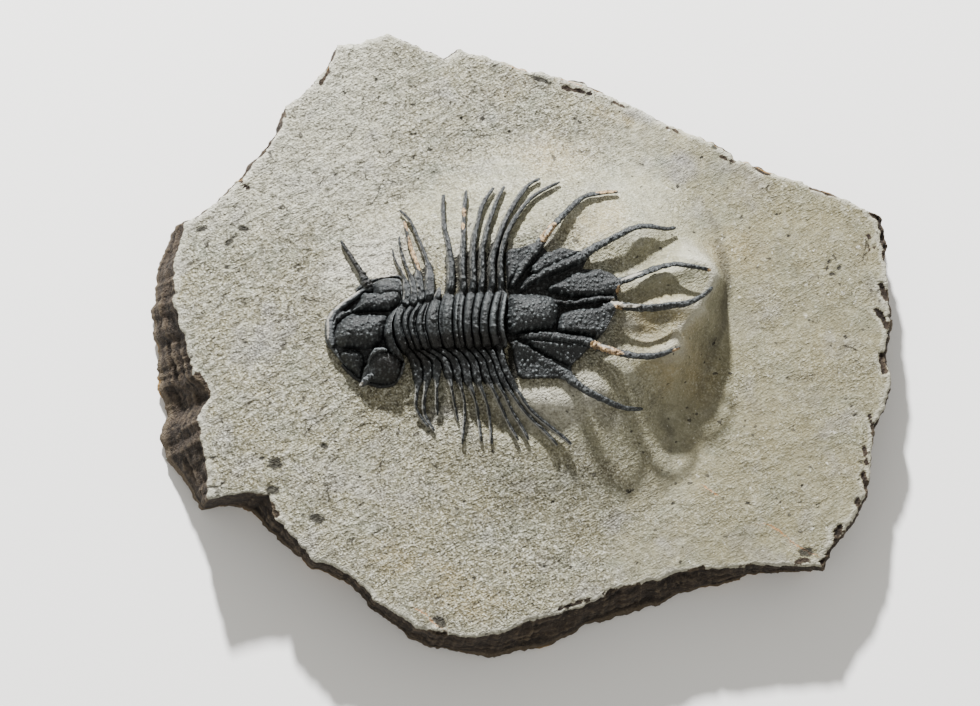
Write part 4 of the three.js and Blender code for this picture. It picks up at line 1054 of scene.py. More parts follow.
def tailHeight(x, y, ring):
    wobbleX, wobbleY = wobbled(x, y, tail)
    foot = tail["plate"]
    height = np.full(np.shape(x), foot)
    for outline, high, shoulder in tail["pads"]:
        height = np.maximum(height, pillowHeight(wobbleX, wobbleY, outline, high, shoulder, foot))
    for rows in tail["ribs"]:
        height = smoothMax(height, ridgeHeight(wobbleX, wobbleY, rows, foot), 0.25)
    raised = smoothstep((height - foot) / 0.9)
    # the left side lies flatter on the stone
    low = smoothstep((tail["lowFrom"] - y) / tail["lowOver"])
    height = height * between(1, tail["lowShare"], low)
    height = height + raised * (tubercles(x, y, tail["grains"], 2) + lumps(x, y, 0, tail["swell"]))
    height = np.maximum(height + lumps(x, y, 0, tail["grit"]), 0.2)
    edgeHigh = between(tail["edgeHigh"], 0.7, low)
    return np.minimum(height, between(height, edgeHigh, smoothstep((ring - 0.99) / 0.01)))


head = {
    "half": 112, "centre": (-37, 3),
    "outline": [
        (-31.6, 5.6), (-30.2, 8.4), (-29.5, 10), (-29.4, 13), (-29.8, 14.9), (-31.6, 15.4), (-34, 15.3),
        (-36.4, 14.2), (-38.2, 13.4), (-40.7, 11.9), (-42.8, 10.5), (-44.9, 9), (-46.4, 7.4), (-47.2, 5.4),
        (-47.3, 3.2), (-47, 0.9), (-45.6, -1.1), (-44, -3.1), (-42.3, -5), (-40.6, -6.7), (-39.3, -7.9),
        (-37.6, -9), (-34, -9.7), (-31.4, -9.4), (-29.6, -7.8), (-28.7, -4.9), (-29.9, -2.2), (-31.5, 0.6),
        (-32, 3.4),
    ],
    # raised areas: outline, height, width of the rounded shoulder, how grainy
    "lobes": [
        ([(-45.3, 1.2), (-45.2, 2.8), (-44.8, 4.2), (-44.1, 5.3), (-43.1, 6.2), (-42, 6.9), (-40.8, 7.2),
          (-39, 7.1), (-37, 7), (-35, 6.8), (-33.2, 6.6), (-32.6, 5), (-33, 3), (-33.8, 1.2), (-34.6, -0.3),
          (-36.5, -1.1), (-38.5, -1.2), (-41, -1), (-43.2, -0.8), (-44.7, -0.1)], 6.2, 4.2, 1),
        ([(-41.2, 7.7), (-40.2, 9), (-39.4, 10.1), (-38.7, 11.8), (-37.7, 12.1), (-36.6, 12), (-35.2, 12),
          (-33.8, 12.2), (-32.4, 12.4), (-31, 12.4), (-30, 11.8), (-29.7, 10.4), (-30.2, 8.9), (-31.4, 7.8),
          (-33.6, 7.4), (-36.4, 7.5), (-38.4, 7.5), (-40, 7.5)], 5.3, 1.9, 0.8),
        ([(-39, 13), (-38.6, 14.4), (-37.6, 14.9), (-36.4, 14.4), (-35.9, 13.2), (-36.4, 12.1),
          (-37.6, 12.1)], 3.6, 1.1, 1.6),
        ([(-36.1, 12), (-36, 13.7), (-35, 14.8), (-33.5, 15.2), (-32, 15), (-30.8, 14.4), (-29.9, 13.4),
          (-29.5, 12), (-30.4, 11), (-32.3, 10.9), (-34, 10.8), (-35.4, 10.9)], 4.9, 1.5, 0.4),
        ([(-46, 3), (-45.8, 5.6), (-44.8, 7.6), (-43.6, 8.4), (-43.4, 7), (-44.4, 5.4), (-45, 3.4),
          (-45.2, 1.6), (-45.9, 1)], 2.8, 0.7, 1),
        ([(-39.6, 10.4), (-38.6, 11.9), (-38, 13), (-38.8, 13.2), (-40.4, 12), (-41, 11.2)], 2.9, 0.5, 1),
        ([(-45, 6.3), (-43.8, 7.7), (-42.7, 8.1), (-41.4, 8.2), (-40.9, 7.2), (-42.5, 6.4),
          (-44.2, 5.6)], 3.2, 0.7, 1),
        ([(-43.9, -1.8), (-42.8, -1.2), (-41, -1.2), (-39.7, -1.5), (-38.7, -2.2), (-38.2, -3.4),
          (-38.2, -5), (-38.5, -6.5), (-39.1, -7.5), (-40.3, -6.9), (-41.7, -5.5), (-43.1, -4)], 4, 2, 1),
        ([(-38.1, -8.7), (-38.1, -6.5), (-37.8, -4.3), (-37.1, -2.9), (-35.9, -1.9), (-34.2, -1.5),
          (-32.3, -2), (-30.5, -3.2), (-29.3, -5.2), (-29.5, -7.8), (-31, -9.3), (-33.5, -9.8),
          (-36.2, -9.6)], 5.1, 3.4, 0.2),
    ],
    # x, y, half width, height over the stone: the occipital ring and the border
    "ridges": [
        [(-29.4, 9.6, 0.5, 2.4), (-30.4, 7.8, 0.8, 3.8), (-31.8, 5.6, 1, 5), (-32.5, 3.6, 1.1, 5.6),
         (-32.7, 1.7, 1.1, 5.6), (-31.9, -0.8, 1, 4.7), (-30.5, -2.6, 0.8, 3.4), (-29.2, -4, 0.5, 2.2)],
        [(-38.4, 12.6, 0.6, 3.2), (-40.6, 11.2, 0.65, 3.3), (-42.6, 9.9, 0.7, 3.4), (-44.3, 8.6, 0.8, 3.4),
         (-45.7, 7, 0.95, 3.4), (-46.3, 5.2, 1, 3.3), (-46.3, 3.4, 1, 3.2), (-46.1, 1.8, 0.95, 3),
         (-45.6, 0.4, 0.8, 2.7)],
        [(-45.2, -0.9, 0.45, 1.9), (-43.9, -2.8, 0.45, 1.9), (-42.1, -4.9, 0.45, 1.8),
         (-40.4, -6.5, 0.45, 1.7)],
        [(-28.9, -5, 0.45, 3.6), (-29.3, -7, 0.6, 3.9), (-30.2, -8.8, 0.6, 3.9)],
        [(-38.2, -7.4, 0.8, 4.1), (-37.4, -5.4, 0.6, 4.2), (-36.8, -3.6, 0.6, 4.4), (-35.8, -2.2, 0.9, 4.9),
         (-34.4, -1.8, 0.7, 4.9), (-33.2, -1.9, 0.4, 4.6)],
    ],
    # the dark slot inside the rim
    "slot": [(-43.2, 8.6), (-42.8, 7.6), (-42, 7.9), (-40.6, 9.4), (-39.4, 10.4), (-39.4, 11.1),
             (-40.8, 10.4), (-42.2, 9.5)],
    # the left side falls away from the light
    "fallFrom": -2.4, "fall": 0.44,
    "plate": 1.6, "slotHigh": 0.1, "edgeHigh": 1.9, "sunk": -0.4, "reliefRounds": 26,
    # tubercles: spacing, radius, height, seed, shift in x, how pale their tops are painted (rubbed shell and
    # painted highlight)
    "grains": [(1.1, 0.42, 0.3, 301, 0, 0.7)],
    # lumps: size in mm, height in mm, seed
    "wobble": [(1.6, 0.18, 311), (0.7, 0.08, 313)], "swell": [(2.6, 0.22, 305), (0.8, 0.08, 306)],
    "grit": [(3, 0.1, 307), (0.5, 0.035, 308)],
}


def headHeight(x, y, ring):
    foot = head["plate"]
    wobbleX, wobbleY = wobbled(x, y, head)
    height = np.full(np.shape(x), foot)
    grainy = np.full(np.shape(x), 0.6)
    for outline, high, shoulder, grain in head["lobes"]:
        pillow = pillowHeight(wobbleX, wobbleY, outline, high, shoulder, foot * 0.6)
        grainy = np.where(pillow > height, grain, grainy)
        height = np.maximum(height, pillow)
    for rows in head["ridges"]:
        ridge = ridgeHeight(wobbleX, wobbleY, rows, foot * 0.9)
        grainy = np.where(ridge > height, 0.4, grainy)
        height = smoothMax(height, ridge, 0.2)
    slot = smoothstep(depthInside(wobbleX, wobbleY, head["slot"]) / 0.35)
    height = between(height, head["slotHigh"], slot)
    height = height + 0.7 * np.clip(1 - lozenge(x, y, -33.1, 1.7, 0.9, 0.9, 0), 0, 1)
    height = np.maximum(height - head["fall"] * np.clip(head["fallFrom"] - y, 0, 7), 0.3)
    grains = tubercles(x, y, head["grains"], 2) - 0.8 * pimples(x + 5, y + 3, 1.5, 0.4, 0.34, 302)
    height = height + grainy * (grains + lumps(x, y, 0, head["swell"])) + lumps(x, y, 0, head["grit"])
    return np.minimum(height, between(height, head["edgeHigh"], smoothstep((ring - 0.985) / 0.015)))


def shieldSkin(plan, heightAt):
    half, centre = plan["half"], plan["centre"]
    closed = smoothCurve(closedRows(plan["outline"]), 900)[:-1]
    ring, around = squareNet(half)
    x, y = outFrom(centre, walk(closed, around, centre), ring)
    rise = heightAt(x, y, ring)
    net = np.column_stack([x, y, ground(x, y) + rise])
    border = netBorder(half)
    loops = []
    # the wall goes straight down into the stone, and the underside closes in rings
    for share, up in ((1.002, 0.66), (1.002, 0.33), (1, 0), (0.8, 0), (0.6, 0), (0.4, 0), (0.2, 0)):
        px, py = outFrom(centre, net[border], share)
        loops.append(np.column_stack([px, py, ground(px, py) + between(plan["sunk"], rise[border], up)]))
    return closeNet(net, half, loops, (*centre, float(ground(*map(float, centre))) + plan["sunk"]))


# The free spines: round in section, rough, with small points along their upper sides

freeSpine = {
    "topCount": 15, "belowCount": 9,
    # lumps: size in mm, share of the half width or the height, seed; the wander sideways is in mm
    "swell": [(2.3, 0.2, 0), (0.8, 0.18, 1)], "grain": [(0.8, 0.17, 2), (0.4, 0.13, 3)],
    "wander": [(1.9, 0.07, 5)],
}


def spineSkin(rows, step, seed, spinules):
    rows = np.array(rows, float)
    length = np.hypot(*np.diff(rows[:, :2], axis=0).T).sum()
    stations = smoothCurve(rows, int(length / step))
    travelled = np.linspace(0, length, len(stations))
    stations[:, 2] *= 1 + lumps(travelled, 0, 0, freeSpine["swell"], seed)
    stations[:, 2] *= 1 - 0.4 * smoothstep((travelled / length - 0.98) / 0.02)
    for axis in (0, 1):
        stations[:, axis] += lumps(travelled, 0, 0, freeSpine["wander"], seed + axis)

    def topShape(s, a):
        bar = between(0.4, 1, roundBack(a))
        place = travelled[s[:, 0]][:, None]
        points = spinules * np.clip(noise(place, a * 0.9, 0, 0.8, seed + 4) - 0.3, 0, 1)
        return bar + lumps(place, a * 0.8, 0, freeSpine["grain"], seed) + points

    def belowShape(s, a):
        return 0.4 * roundBack(a) - 0.4

    rings = sweptShell(stations, topShape, belowShape, freeSpine["topCount"], freeSpine["belowCount"])
    return closeSkin(rings)


def joined(parts):
    # several skins as one mesh's points, quads and triangles
    points, quads, ends, start = [], [], [], 0
    for p, q, e in parts:
        points.append(p)
        quads.append(q + start)
        ends.append(e + start)
        start += len(p)
    return np.vstack(points), np.vstack(quads), np.vstack(ends)


def storeDots(obj, plan):
    # the tubercle tops, painted pale: rubbed shell and painted highlight
    points = meshPoints(obj)
    storeValues(obj, "dots", tubercles(points[:, 0], points[:, 1], plan["grains"], 5))


def makeTail():
    skins = [shieldSkin(tail, tailHeight)]
    for k, rows in enumerate(tail["spines"]):
        skins.append(spineSkin(rows, tail["spineStep"], tail["spineSeed"] + 10 * k, tail["spinules"][k]))
    obj = makeObject("pygidium_shell", joined(skins), tail["reliefRounds"])
    storeDots(obj, tail)
    return obj, "pygidium"


def makeHead():
    obj = makeObject("cranidium_shell", shieldSkin(head, headHeight), head["reliefRounds"])
    storeDots(obj, head)
    return obj, "cranidium"


cheeks = {
    "step": 0.14, "reliefRounds": 14,
    "right": {
        "node": "free_cheek_right",
        "border": [(-39.9, 13, 0.4, -0.3, 1.6), (-38.6, 13.9, 0.7, -0.3, 2), (-37.2, 14.8, 0.6, -0.3, 1.9),
                   (-35.4, 15.5, 0.4, -0.3, 1.3), (-33.4, 16, 0.4, -0.3, 1.2),
                   (-31.5, 16.2, 0.4, -0.3, 1.2), (-29.9, 16, 0.35, -0.3, 1.1),
                   (-29.3, 15.3, 0.3, -0.3, 1)],
        "spine": [(-36.7, 12.7, 0.8, 0.2, 3.6), (-37.3, 14, 1.35, 0.1, 4.3), (-37.9, 15.3, 1.15, 0.4, 3.6),
                  (-38.7, 17.3, 0.72, 0.9, 2.8), (-39.9, 19.4, 0.6, 1.1, 2.6),
                  (-41.2, 21.7, 0.54, 1.1, 2.4), (-42.4, 23.7, 0.46, 1, 2.1),
                  (-43.2, 25.4, 0.34, 0.8, 1.6)],
    },
    "left": {
        "node": "free_cheek_left",
        "border": [(-43.3, -4.4, 0.4, -0.3, 1), (-41.6, -6.3, 0.4, -0.3, 1), (-39.6, -8, 0.4, -0.3, 1),
                   (-37, -9, 0.4, -0.3, 0.9), (-34.3, -9.7, 0.4, -0.3, 0.7), (-31.8, -9.5, 0.4, -0.3, 0.7),
                   (-30.2, -8.5, 0.35, -0.3, 0.7)],
        "spine": [(-36.2, -7.2, 1, -0.2, 2.8), (-37.3, -8, 1.1, -0.2, 2.7), (-38.3, -8.9, 0.8, -0.1, 2.1),
                  (-39.2, -9.7, 0.35, 0, 1.3)],
    },
}


def makeCheek(side):
    plan = cheeks[side]
    parts = []
    for name, seed, spinules in (("border", 520, 0.1), ("spine", 540, 1.2)):
        parts.append(spineSkin(plan[name], cheeks["step"], seed, spinules))
    return makeObject(f"free_cheek_{side}_shell", joined(parts), cheeks["reliefRounds"]), plan["node"]


# Stains, painted highlight and painted shade that belong to places: x, y, long, wide, turn

stains = {
    "rust": [
        # iron and ochre where the shell is worn through, at the roots of some spines and at some tips
        (4.2, 24.4, 2.2, 1.2, 55), (5.8, 26.4, 1.6, 1, 52), (15.6, -1.9, 1.6, 1.2, -20),
        (19, -3.1, 3.4, 1, -16), (21.4, 11.4, 0.9, 1.2, 0), (21.2, 7.4, 1, 1.4, 60),
        (43.4, 16.2, 1, 0.5, 0), (20, 36.6, 3.2, 0.5, 8), (-14.4, 31, 1.4, 0.6, 90),
        (-14.9, 27.4, 1, 0.5, 90), (-26.3, 21.4, 5, 0.8, 106), (-27.9, 28.4, 1.6, 0.5, 105),
        (35, -2.6, 1.4, 0.5, 20),
    ],
    "wornAndHighlit": [
        # pale spots: worn shell, and painted highlight on the lit rim of the right cheek
        (20.8, 8.5, 1.6, 1, 0), (23.8, 7.4, 3, 0.5, 0), (24.5, 14.6, 3, 0.4, 20),
        (-38.9, -9.3, 0.7, 0.4, 45), (-46.7, 4, 3, 0.34, 90), (-46, 7, 1.2, 0.32, 60),
        (-44.1, 9, 1.6, 0.32, 42), (-41.2, 11.2, 2.8, 0.32, 34), (-32.4, 16.3, 3, 0.5, 8),
        (5, 25.6, 1.8, 0.4, 52), (17.8, -2.2, 2.4, 0.3, -18), (-30.1, 20.4, 2.6, 0.5, 106),
        (-29, 17.6, 2, 0.4, 104),
    ],
    "grey": [
        # the rubbed front rim, and painted highlight on the lit rim beside the left eye
        (-46, 3.5, 4, 1.1, 90), (-44.6, 7.6, 2.2, 1.1, 45), (-41.5, 10.4, 3.6, 0.9, 36),
        (-37.6, -7.6, 2.6, 1, 65),
    ],
    "shade": [
        # painted shade: brown-black on the unlit left flank of the head and the first rings, the lower side
        # of the axis, the right genal spine and beside the right eye
        (-31.5, -5.8, 4.6, 4, 0), (-26.5, -2.5, 5, 3, -30), (-15, -0.6, 12, 2.2, 0), (-40, 20, 6, 1.2, 116),
        (-37.4, 14.2, 1.4, 1.2, 0),
    ],
    "body": [(-6, 6, 27, 15, 0), (-36, 3, 12, 12, 0)],
}


def storeStains(obj):
    points = meshPoints(obj)
    x, y = points[:, 0], points[:, 1]
    for name, rows in stains.items():
        storeValues(obj, name, patches(x, y, rows))
    # painted shade: how deep a place lies in the furrows, near the stone, to be painted near-black
    rise = points[:, 2] - ground(x, y)
    storeValues(obj, "deep", np.clip((0.9 - rise) / 0.7, 0, 1) * patches(x, y, stains["body"]) ** 0.3)


# Materials

def startMaterial(name, stored, noises):
    # a new material, and its fields: values stored on the mesh, and noises as name, size in mm, detail
    material, tree = newMaterial(name)
    place = addNode(tree, "ShaderNodeTexCoord").outputs["Object"]
    fields = {}
    for name in stored:
        fields[name] = addNode(tree, "ShaderNodeAttribute", {"attribute_name": name}).outputs["Fac"]
    for name, size, detail in noises:
        settings = {"Scale": 1 / (size * mm), "Detail": detail, "Roughness": 0.65}
        fields[name] = addNode(tree, "ShaderNodeTexNoise", settings, {"Vector": place}).outputs["Fac"]
    return material, tree, place, fields


def tearEdges(tree, fields, tear, shares):
    # ragged edges for marks that the mesh carries softly: a noise, and its share in each mark
    for name, share in shares.items():
        torn = addNode(tree, "ShaderNodeMath", {"operation": "MULTIPLY_ADD", 1: share, 2: -share / 2},
                       {0: fields[tear]}).outputs[0]
        fields[name] = addNode(tree, "ShaderNodeMath", {"operation": "ADD"},
                               {0: fields[name], 1: torn}).outputs[0]


def layColours(tree, fields, colour, rows):
    # colours laid over one another, each by a field; a colour is a hex value or what another layering gave
    for name, low, high, most, laid in rows:
        share = addNode(tree, "ShaderNodeMapRange", {1: low, 2: high, 4: most}, {0: fields[name]}).outputs[0]
        settings, links = {"data_type": "RGBA"}, {0: share}
        for socket, value in ((6, colour), (7, laid)):
            if isinstance(value, str):
                settings[socket] = toLinear(value)
            else:
                links[socket] = value
        colour = addNode(tree, "ShaderNodeMix", settings, links).outputs[2]
    return colour


def heightsAdded(tree, fields, rows):
    # fields added up as one height in mm
    height = None
    for name, amount in rows:
        settings = {"operation": "MULTIPLY_ADD", 1: amount, 2: 0}
        links = {0: fields[name]} if height is None else {0: fields[name], 2: height}
        height = addNode(tree, "ShaderNodeMath", settings, links).outputs[0]
    return height


def finishMaterial(tree, settings, colour, height):
    bump = addNode(tree, "ShaderNodeBump", {"Strength": 1.0, "Distance": 1.0 * mm}, {"Height": height})
    shader = addNode(tree, "ShaderNodeBsdfPrincipled", settings,
                     {"Base Color": colour, "Normal": bump.outputs[0]})
    addNode(tree, "ShaderNodeOutputMaterial", links={"Surface": shader.outputs[0]})


def limestone():
    # fine grey limestone, split and then worked with a needle: matt and chalky, grained at half a
    # millimetre, clouded in green-grey, beige and lilac, with short picks, black specks and cracks,
    # and dark brown where it broke. Painted light and shade on it: highlight on what stands out, a
    # nearly white ledge below the tail and golden rims, and shade in hollows, near-black gaps round
    # the fossil and the broken flanks painted darker
    material, tree, place, fields = startMaterial("limestone_split_and_needled", (
        "calm", "tone", "paintedLight", "broken", "halo", "warm", "smear", "dark", "gold", "relief", "gapShade",
        "crackAlong", "crackAcross", "crackNear", "vein",
    ), (
        ("cloud", 27, 3), ("tint", 8.5, 3), ("lilac", 11.3, 2), ("blotch", 2.9, 3), ("crumb", 1.1, 3),
        ("grain", 0.52, 2), ("specks", 1.9, 1), ("chalk", 1.55, 2), ("rock", 3.4, 5), ("tear", 0.8, 3),
    ))
    # picks of the needle, about 1.5 mm long, in two directions
    for name, longMm, wideMm, turn in (("pickOne", 1.7, 0.42, 28), ("pickTwo", 1.5, 0.45, -50)):
        turned = addNode(tree, "ShaderNodeMapping", {"Rotation": (0, 0, math.radians(-turn))},
                         {"Vector": place}).outputs[0]
        squeeze = (1 / (longMm * mm), 1 / (wideMm * mm), 1 / (1.2 * mm))
        drawn = addNode(tree, "ShaderNodeVectorMath", {"operation": "MULTIPLY", 1: squeeze}, {0: turned})
        settings = {"Scale": 1.0, "Detail": 1.0, "Roughness": 0.5, "Distortion": 0.5}
        fields[name] = addNode(tree, "ShaderNodeTexNoise", settings,
                               {"Vector": drawn.outputs[0]}).outputs["Fac"]
    # a crack wanders a little off its line and thins out towards its ends
    wander = addNode(tree, "ShaderNodeMath", {"operation": "MULTIPLY_ADD", 1: 1.7, 2: -0.85},
                     {0: fields["tear"]}).outputs[0]
    away = addNode(tree, "ShaderNodeMath", {"operation": "ADD"},
                   {0: fields["crackAcross"], 1: wander}).outputs[0]
    away = addNode(tree, "ShaderNodeMath", {"operation": "ABSOLUTE"}, {0: away}).outputs[0]
    wide = addNode(tree, "ShaderNodeMath", {"operation": "MULTIPLY"},
                   {0: fields["crackAlong"], 1: fields["crackAlong"]}).outputs[0]
    wide = addNode(tree, "ShaderNodeMath", {"operation": "MULTIPLY_ADD", 1: -0.2, 2: 0.2},
                   {0: wide}).outputs[0]
    within = addNode(tree, "ShaderNodeMath", {"operation": "SUBTRACT"}, {0: wide, 1: away}).outputs[0]
    line = addNode(tree, "ShaderNodeMapRange", {1: -0.06, 2: 0.1}, {0: within}).outputs[0]
    line = addNode(tree, "ShaderNodeMath", {"operation": "MULTIPLY"},
                   {0: line, 1: fields["crackNear"]}).outputs[0]
    fields["seam"] = addNode(tree, "ShaderNodeMath", {"operation": "MULTIPLY"},
                             {0: line, 1: fields["vein"]}).outputs[0]
    fields["crack"] = addNode(tree, "ShaderNodeMath", {"operation": "SUBTRACT"},
                              {0: line, 1: fields["seam"]}).outputs[0]
    tearEdges(tree, fields, "tear", {"broken": 0.9, "dark": 1.3, "gapShade": 0.6})
    # in all the layers: field, from, to, most cover, colour
    clouded = layColours(tree, fields, "#7c7966", (
        ("rock", 0, 1, 1, "#807b64"),
        ("cloud", 0.4, 0.62, 0.7, "#8a8774"),
        ("tint", 0.5, 0.68, 0.5, "#8f8768"),
        ("tint", 0.48, 0.32, 0.5, "#7c8378"),
        ("lilac", 0.55, 0.68, 0.5, "#86858c"),
        ("halo", 0, 1, 0.55, "#8f8d75"),
        # painted light: nearly white on the lit ledge below the tail and beside the head
        ("paintedLight", 0, 1, 0.6, "#d3d0c4"),
        ("warm", 0, 1, 0.55, "#a08d60"),
        ("smear", 0, 1, 0.5, "#5d5346"),
        ("blotch", 0.5, 0.34, 0.42, "#5f5c52"),
        ("blotch", 0.52, 0.68, 0.4, "#acaa95"),
        ("tone", 0, 1, 0.5, "#6a6344"),
        ("tone", 0.05, -0.3, 0.45, "#bfbdac"),
    ))
    grained = layColours(tree, fields, clouded, (
        ("crumb", 0.47, 0.32, 0.72, "#4d4a40"),
        ("crumb", 0.54, 0.7, 0.66, "#bdbba9"),
        ("grain", 0.47, 0.33, 0.85, "#3f3c34"),
        ("grain", 0.54, 0.68, 0.78, "#d1cfbf"),
        ("pickOne", 0.36, 0.27, 0.6, "#4b4840"),
        ("pickTwo", 0.33, 0.25, 0.6, "#4b4840"),
        ("pickTwo", 0.66, 0.74, 0.6, "#d2d0c3"),
    ))
    # the broken flank: dark brown rock, painted darker still as painted shade
    rock = layColours(tree, fields, "#191512", (
        ("tint", 0, 1, 1, "#2b241e"),
        ("rock", 0.42, 0.66, 1, "#40372e"),
        ("crumb", 0.55, 0.72, 0.5, "#665a49"),
        # painted highlight on what stands out of the broken stone, painted shade in its hollows
        ("relief", 0.05, 0.3, 0.5, "#6b5f4e"),
        ("relief", -0.05, -0.3, 0.7, "#100d0b"),
        # golden rims: golden stone, and painted highlight
        ("gold", 0.2, 0.8, 0.7, "#a07d48"),
    ))
    colour = layColours(tree, fields, grained, (
        ("calm", 0, 1, 0.76, clouded),
        # painted shade in the small hollows and painted highlight on the small bumps
        ("relief", -0.02, -0.16, 0.55, "#45423b"),
        ("relief", 0.02, 0.12, 0.4, "#bdbbad"),
        ("chalk", 0.68, 0.74, 0.5, "#d8d6ca"),
        ("specks", 0.29, 0.25, 0.8, "#34312c"),
        ("crack", 0, 1, 0.8, "#2f2b26"),
        ("seam", 0, 1, 0.6, "#a8713f"),
        ("dark", 0.4, 0.62, 0.88, "#2b2925"),
        # painted shade: near-black on the stone in the gaps round the fossil
        ("gapShade", 0.42, 0.6, 0.95, "#1d1c1a"),
        ("broken", 0.42, 0.56, 1, rock),
    ))
    height = heightsAdded(tree, fields, (
        ("grain", 0.42), ("crumb", 0.6), ("blotch", 0.5), ("pickOne", 0.3), ("crack", -0.3)))
    rubbed = addNode(tree, "ShaderNodeMapRange", {3: 1.45, 4: 0.55}, {0: fields["calm"]}).outputs[0]
    height = addNode(tree, "ShaderNodeMath", {"operation": "MULTIPLY"}, {0: height, 1: rubbed}).outputs[0]
    finishMaterial(tree, {"Roughness": 0.93, "IOR": 1.5, "Specular IOR Level": 0.2}, colour, height)
    return material


def blackShell():
    # calcite shell turned black, cleaned with a fine abrasive: matt, grey on the tops (worn shell, with
    # painted highlight), painted shade black in the furrows and near the stone, painted shade brown on
    # the unlit left flank, painted highlight on some lit edges and rims, and rust, ochre and chalky
    # white where it is worn through
    material, tree, _, fields = startMaterial("calcite_shell_air_abraded", (
        "relief", "rust", "wornAndHighlit", "shade", "deep", "edge", "grey", "dots",
    ), (
        ("mottle", 3, 3), ("dust", 0.55, 3), ("grain", 0.4, 3), ("fleck", 0.8, 3),
    ))
    tearEdges(tree, fields, "fleck", {"rust": 0.9, "wornAndHighlit": 0.9, "edge": 0.9})
    # in all the layers: field, from, to, most cover, colour
    worn = layColours(tree, fields, "#4b3826", (("fleck", 0.38, 0.62, 1, "#bea076"),))
    colour = layColours(tree, fields, "#151718", (
        ("mottle", 0.35, 0.65, 1, "#232627"),
        # grey on the rubbed front rim, and painted highlight on the lit rim beside the left eye
        ("grey", 0.3, 0.8, 0.6, "#5d6062"),
        # painted highlight on what stands out, painted shade black in the furrows
        ("relief", 0.05, 0.28, 0.6, "#5c6061"),
        ("relief", -0.07, -0.28, 0.88, "#050505"),
        # painted shade: near-black deep in the furrows near the stone
        ("deep", 0, 1, 0.94, "#040404"),
        # painted shade: brown-black on the unlit places
        ("shade", 0.2, 0.9, 0.8, "#120f0c"),
        # tubercle tops painted pale: rubbed shell and painted highlight
        ("dots", 0.1, 0.75, 0.45, "#666c6d"),
        ("dust", 0.55, 0.72, 0.4, "#6b6d6c"),
        ("dust", 0.45, 0.32, 0.3, "#0a0a0a"),
        # painted highlight on the front edges of the pleurae and spines
        ("edge", 0.5, 0.8, 0.8, "#8f8e87"),
        ("rust", 0.46, 0.64, 0.85, worn),
        # pale spots: worn shell, and painted highlight on the lit rim of the right cheek
        ("wornAndHighlit", 0.42, 0.62, 0.78, "#9b978e"),
    ))
    height = heightsAdded(tree, fields, (("grain", 0.26),))
    finishMaterial(tree, {"Roughness": 0.52, "IOR": 1.5, "Specular IOR Level": 0.36}, colour, height)
    return material


gapShadePlan = {
    "box": (-50, 26, -14, 26, 17),    # round the fossil: least and most x, least and most y, least height
    "rings": (-16, 4, 24),    # x, y, radius: round the thorax
    "left": 0.34, "right": 0.36, "reach": 1.25, "soft": 0.8,    # shares of each arm, mm
    # x, y, long, wide, turn: painted shade in the grooves beside the tail
    "spots": [(-5.3, 5.8, 1.3, 7.6, 0), (-3.6, -5.6, 1, 4.4, 12)],
}


def storeGapShade(obj, routes):
    # painted shade: black on the stone between the pleurae, beside the tail and under the shields, where the
    # gaps lie in shade
    points = meshPoints(obj)
    x, y = points[:, 0], points[:, 1]
    xLeast, xMost, yLeast, yMost, zLeast = gapShadePlan["box"]
    nearFossil = (x > xLeast) & (x < xMost) & (y > yLeast) & (y < yMost) & (points[:, 2] > zLeast)
    px, py = x[nearFossil], y[nearFossil]
    gapShade = np.zeros(len(px))
    for plan in (tail, head):
        inside = depthInside(px, py, plan["outline"])
        gapShade = np.maximum(gapShade, np.clip(0.3 + inside * 1.5, 0, 1) * (inside > 0))
    gapShade = np.maximum(gapShade, patches(px, py, gapShadePlan["spots"]))
    ringsX, ringsY, radius = gapShadePlan["rings"]
    closeBy = np.hypot(px - ringsX, py - ringsY) < radius
    for left, axis, right in routes:
        leftFrom, rightTo = int(len(left) * (1 - gapShadePlan["left"])), int(len(right) * gapShadePlan["right"])
        kept = np.vstack([left[leftFrom:], axis, right[:rightTo]])
        gap = nearestGap(np.column_stack([px[closeBy], py[closeBy]]), kept)
        cover = np.clip((gapShadePlan["reach"] - gap) / gapShadePlan["soft"] + 0.5, 0, 1)
        gapShade[closeBy] = np.maximum(gapShade[closeBy], cover)
    values = np.zeros(len(x))
    values[nearFossil] = gapShade
    storeValues(obj, "gapShade", values)


allRoutes = [segmentRoute(k) for k in range(len(thorax["rings"]))]
stoneMaterial = limestone()
shellMaterial = blackShell()

slabObject = makeSlab()
storeGapShade(slabObject, allRoutes)
slabObject.data.materials.append(stoneMaterial)
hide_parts("matrix")
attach(slabObject, "root")
print("slab made,", len(slabObject.data.polygons), "faces")

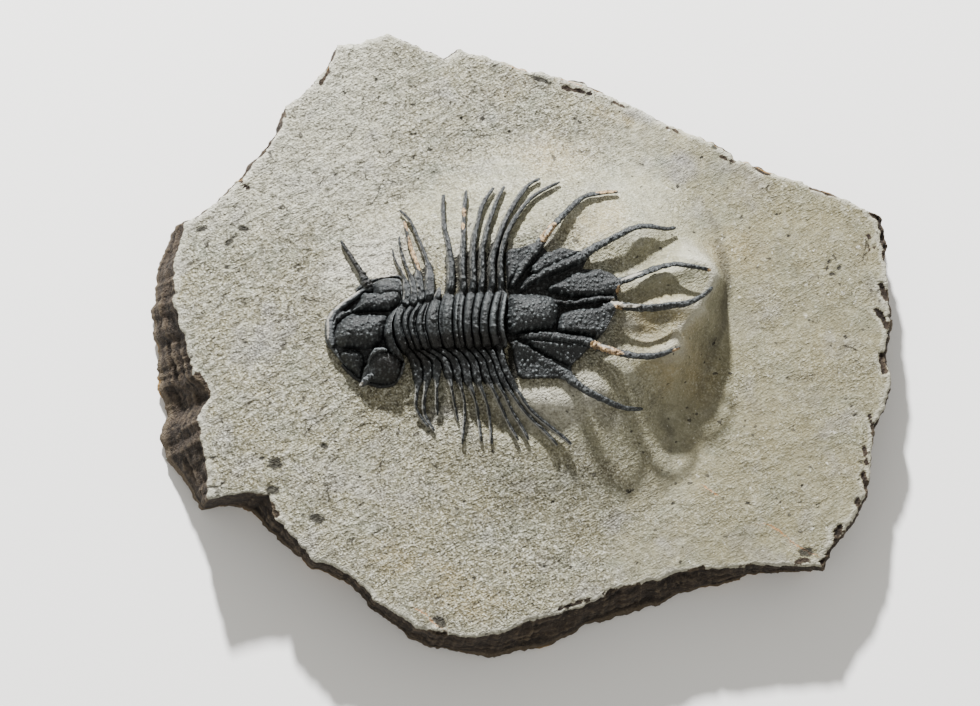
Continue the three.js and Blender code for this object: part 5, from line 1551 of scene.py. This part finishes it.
shellPieces = [makeHead(), makeTail(), makeCheek("right"), makeCheek("left")]
shellPieces += [makeSegment(k, allRoutes) for k in range(len(allRoutes))]
for piece, node in shellPieces:
    storeStains(piece)
    piece.data.materials.append(shellMaterial)
    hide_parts(node)
    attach(piece, "root")
    print(piece.name, len(piece.data.polygons), "faces")


# Floor and light: a plain pale table and one soft key from the top of the frame

studio = {
    "floorSize": 6.0, "floorColour": "#fbfaf8",
    "keyAzimuth": 103.0, "keyHeight": 30.5, "keyDistance": 1.3, "keySize": 0.075, "keyPower": 76.0,
    "worldColour": "#f6f4ee", "worldStrength": 0.72,
}


def makeFloor():
    size = studio["floorSize"] / 2
    mesh = bpy.data.meshes.new("floor")
    corners = [(-size, -size, 0), (size, -size, 0), (size, size, 0), (-size, size, 0)]
    mesh.from_pydata(corners, [], [(0, 1, 2, 3)])
    floor = bpy.data.objects.new("floor", mesh)
    bpy.context.scene.collection.objects.link(floor)
    material, tree = newMaterial("paper_matt_white")
    shader = addNode(tree, "ShaderNodeBsdfPrincipled",
                     {"Base Color": toLinear(studio["floorColour"]), "Roughness": 0.9})
    addNode(tree, "ShaderNodeOutputMaterial", links={"Surface": shader.outputs[0]})
    mesh.materials.append(material)


def makeLight():
    data = bpy.data.lights.new("key", "AREA")
    data.shape, data.size, data.energy = "DISK", studio["keySize"], studio["keyPower"]
    turn, height = math.radians(studio["keyAzimuth"]), math.radians(studio["keyHeight"])
    flat = math.cos(height)
    towards = Vector((math.cos(turn) * flat, math.sin(turn) * flat, math.sin(height)))
    key = bpy.data.objects.new("key", data)
    key.location = towards * studio["keyDistance"]
    key.rotation_euler = towards.to_track_quat("Z", "Y").to_euler()
    bpy.context.scene.collection.objects.link(key)
    world = bpy.data.worlds.new("room")
    world.use_nodes = True
    background = world.node_tree.nodes["Background"]
    background.inputs["Color"].default_value = toLinear(studio["worldColour"])
    background.inputs["Strength"].default_value = studio["worldStrength"]
    bpy.context.scene.world = world


makeFloor()
makeLight()
print("floor and light placed")
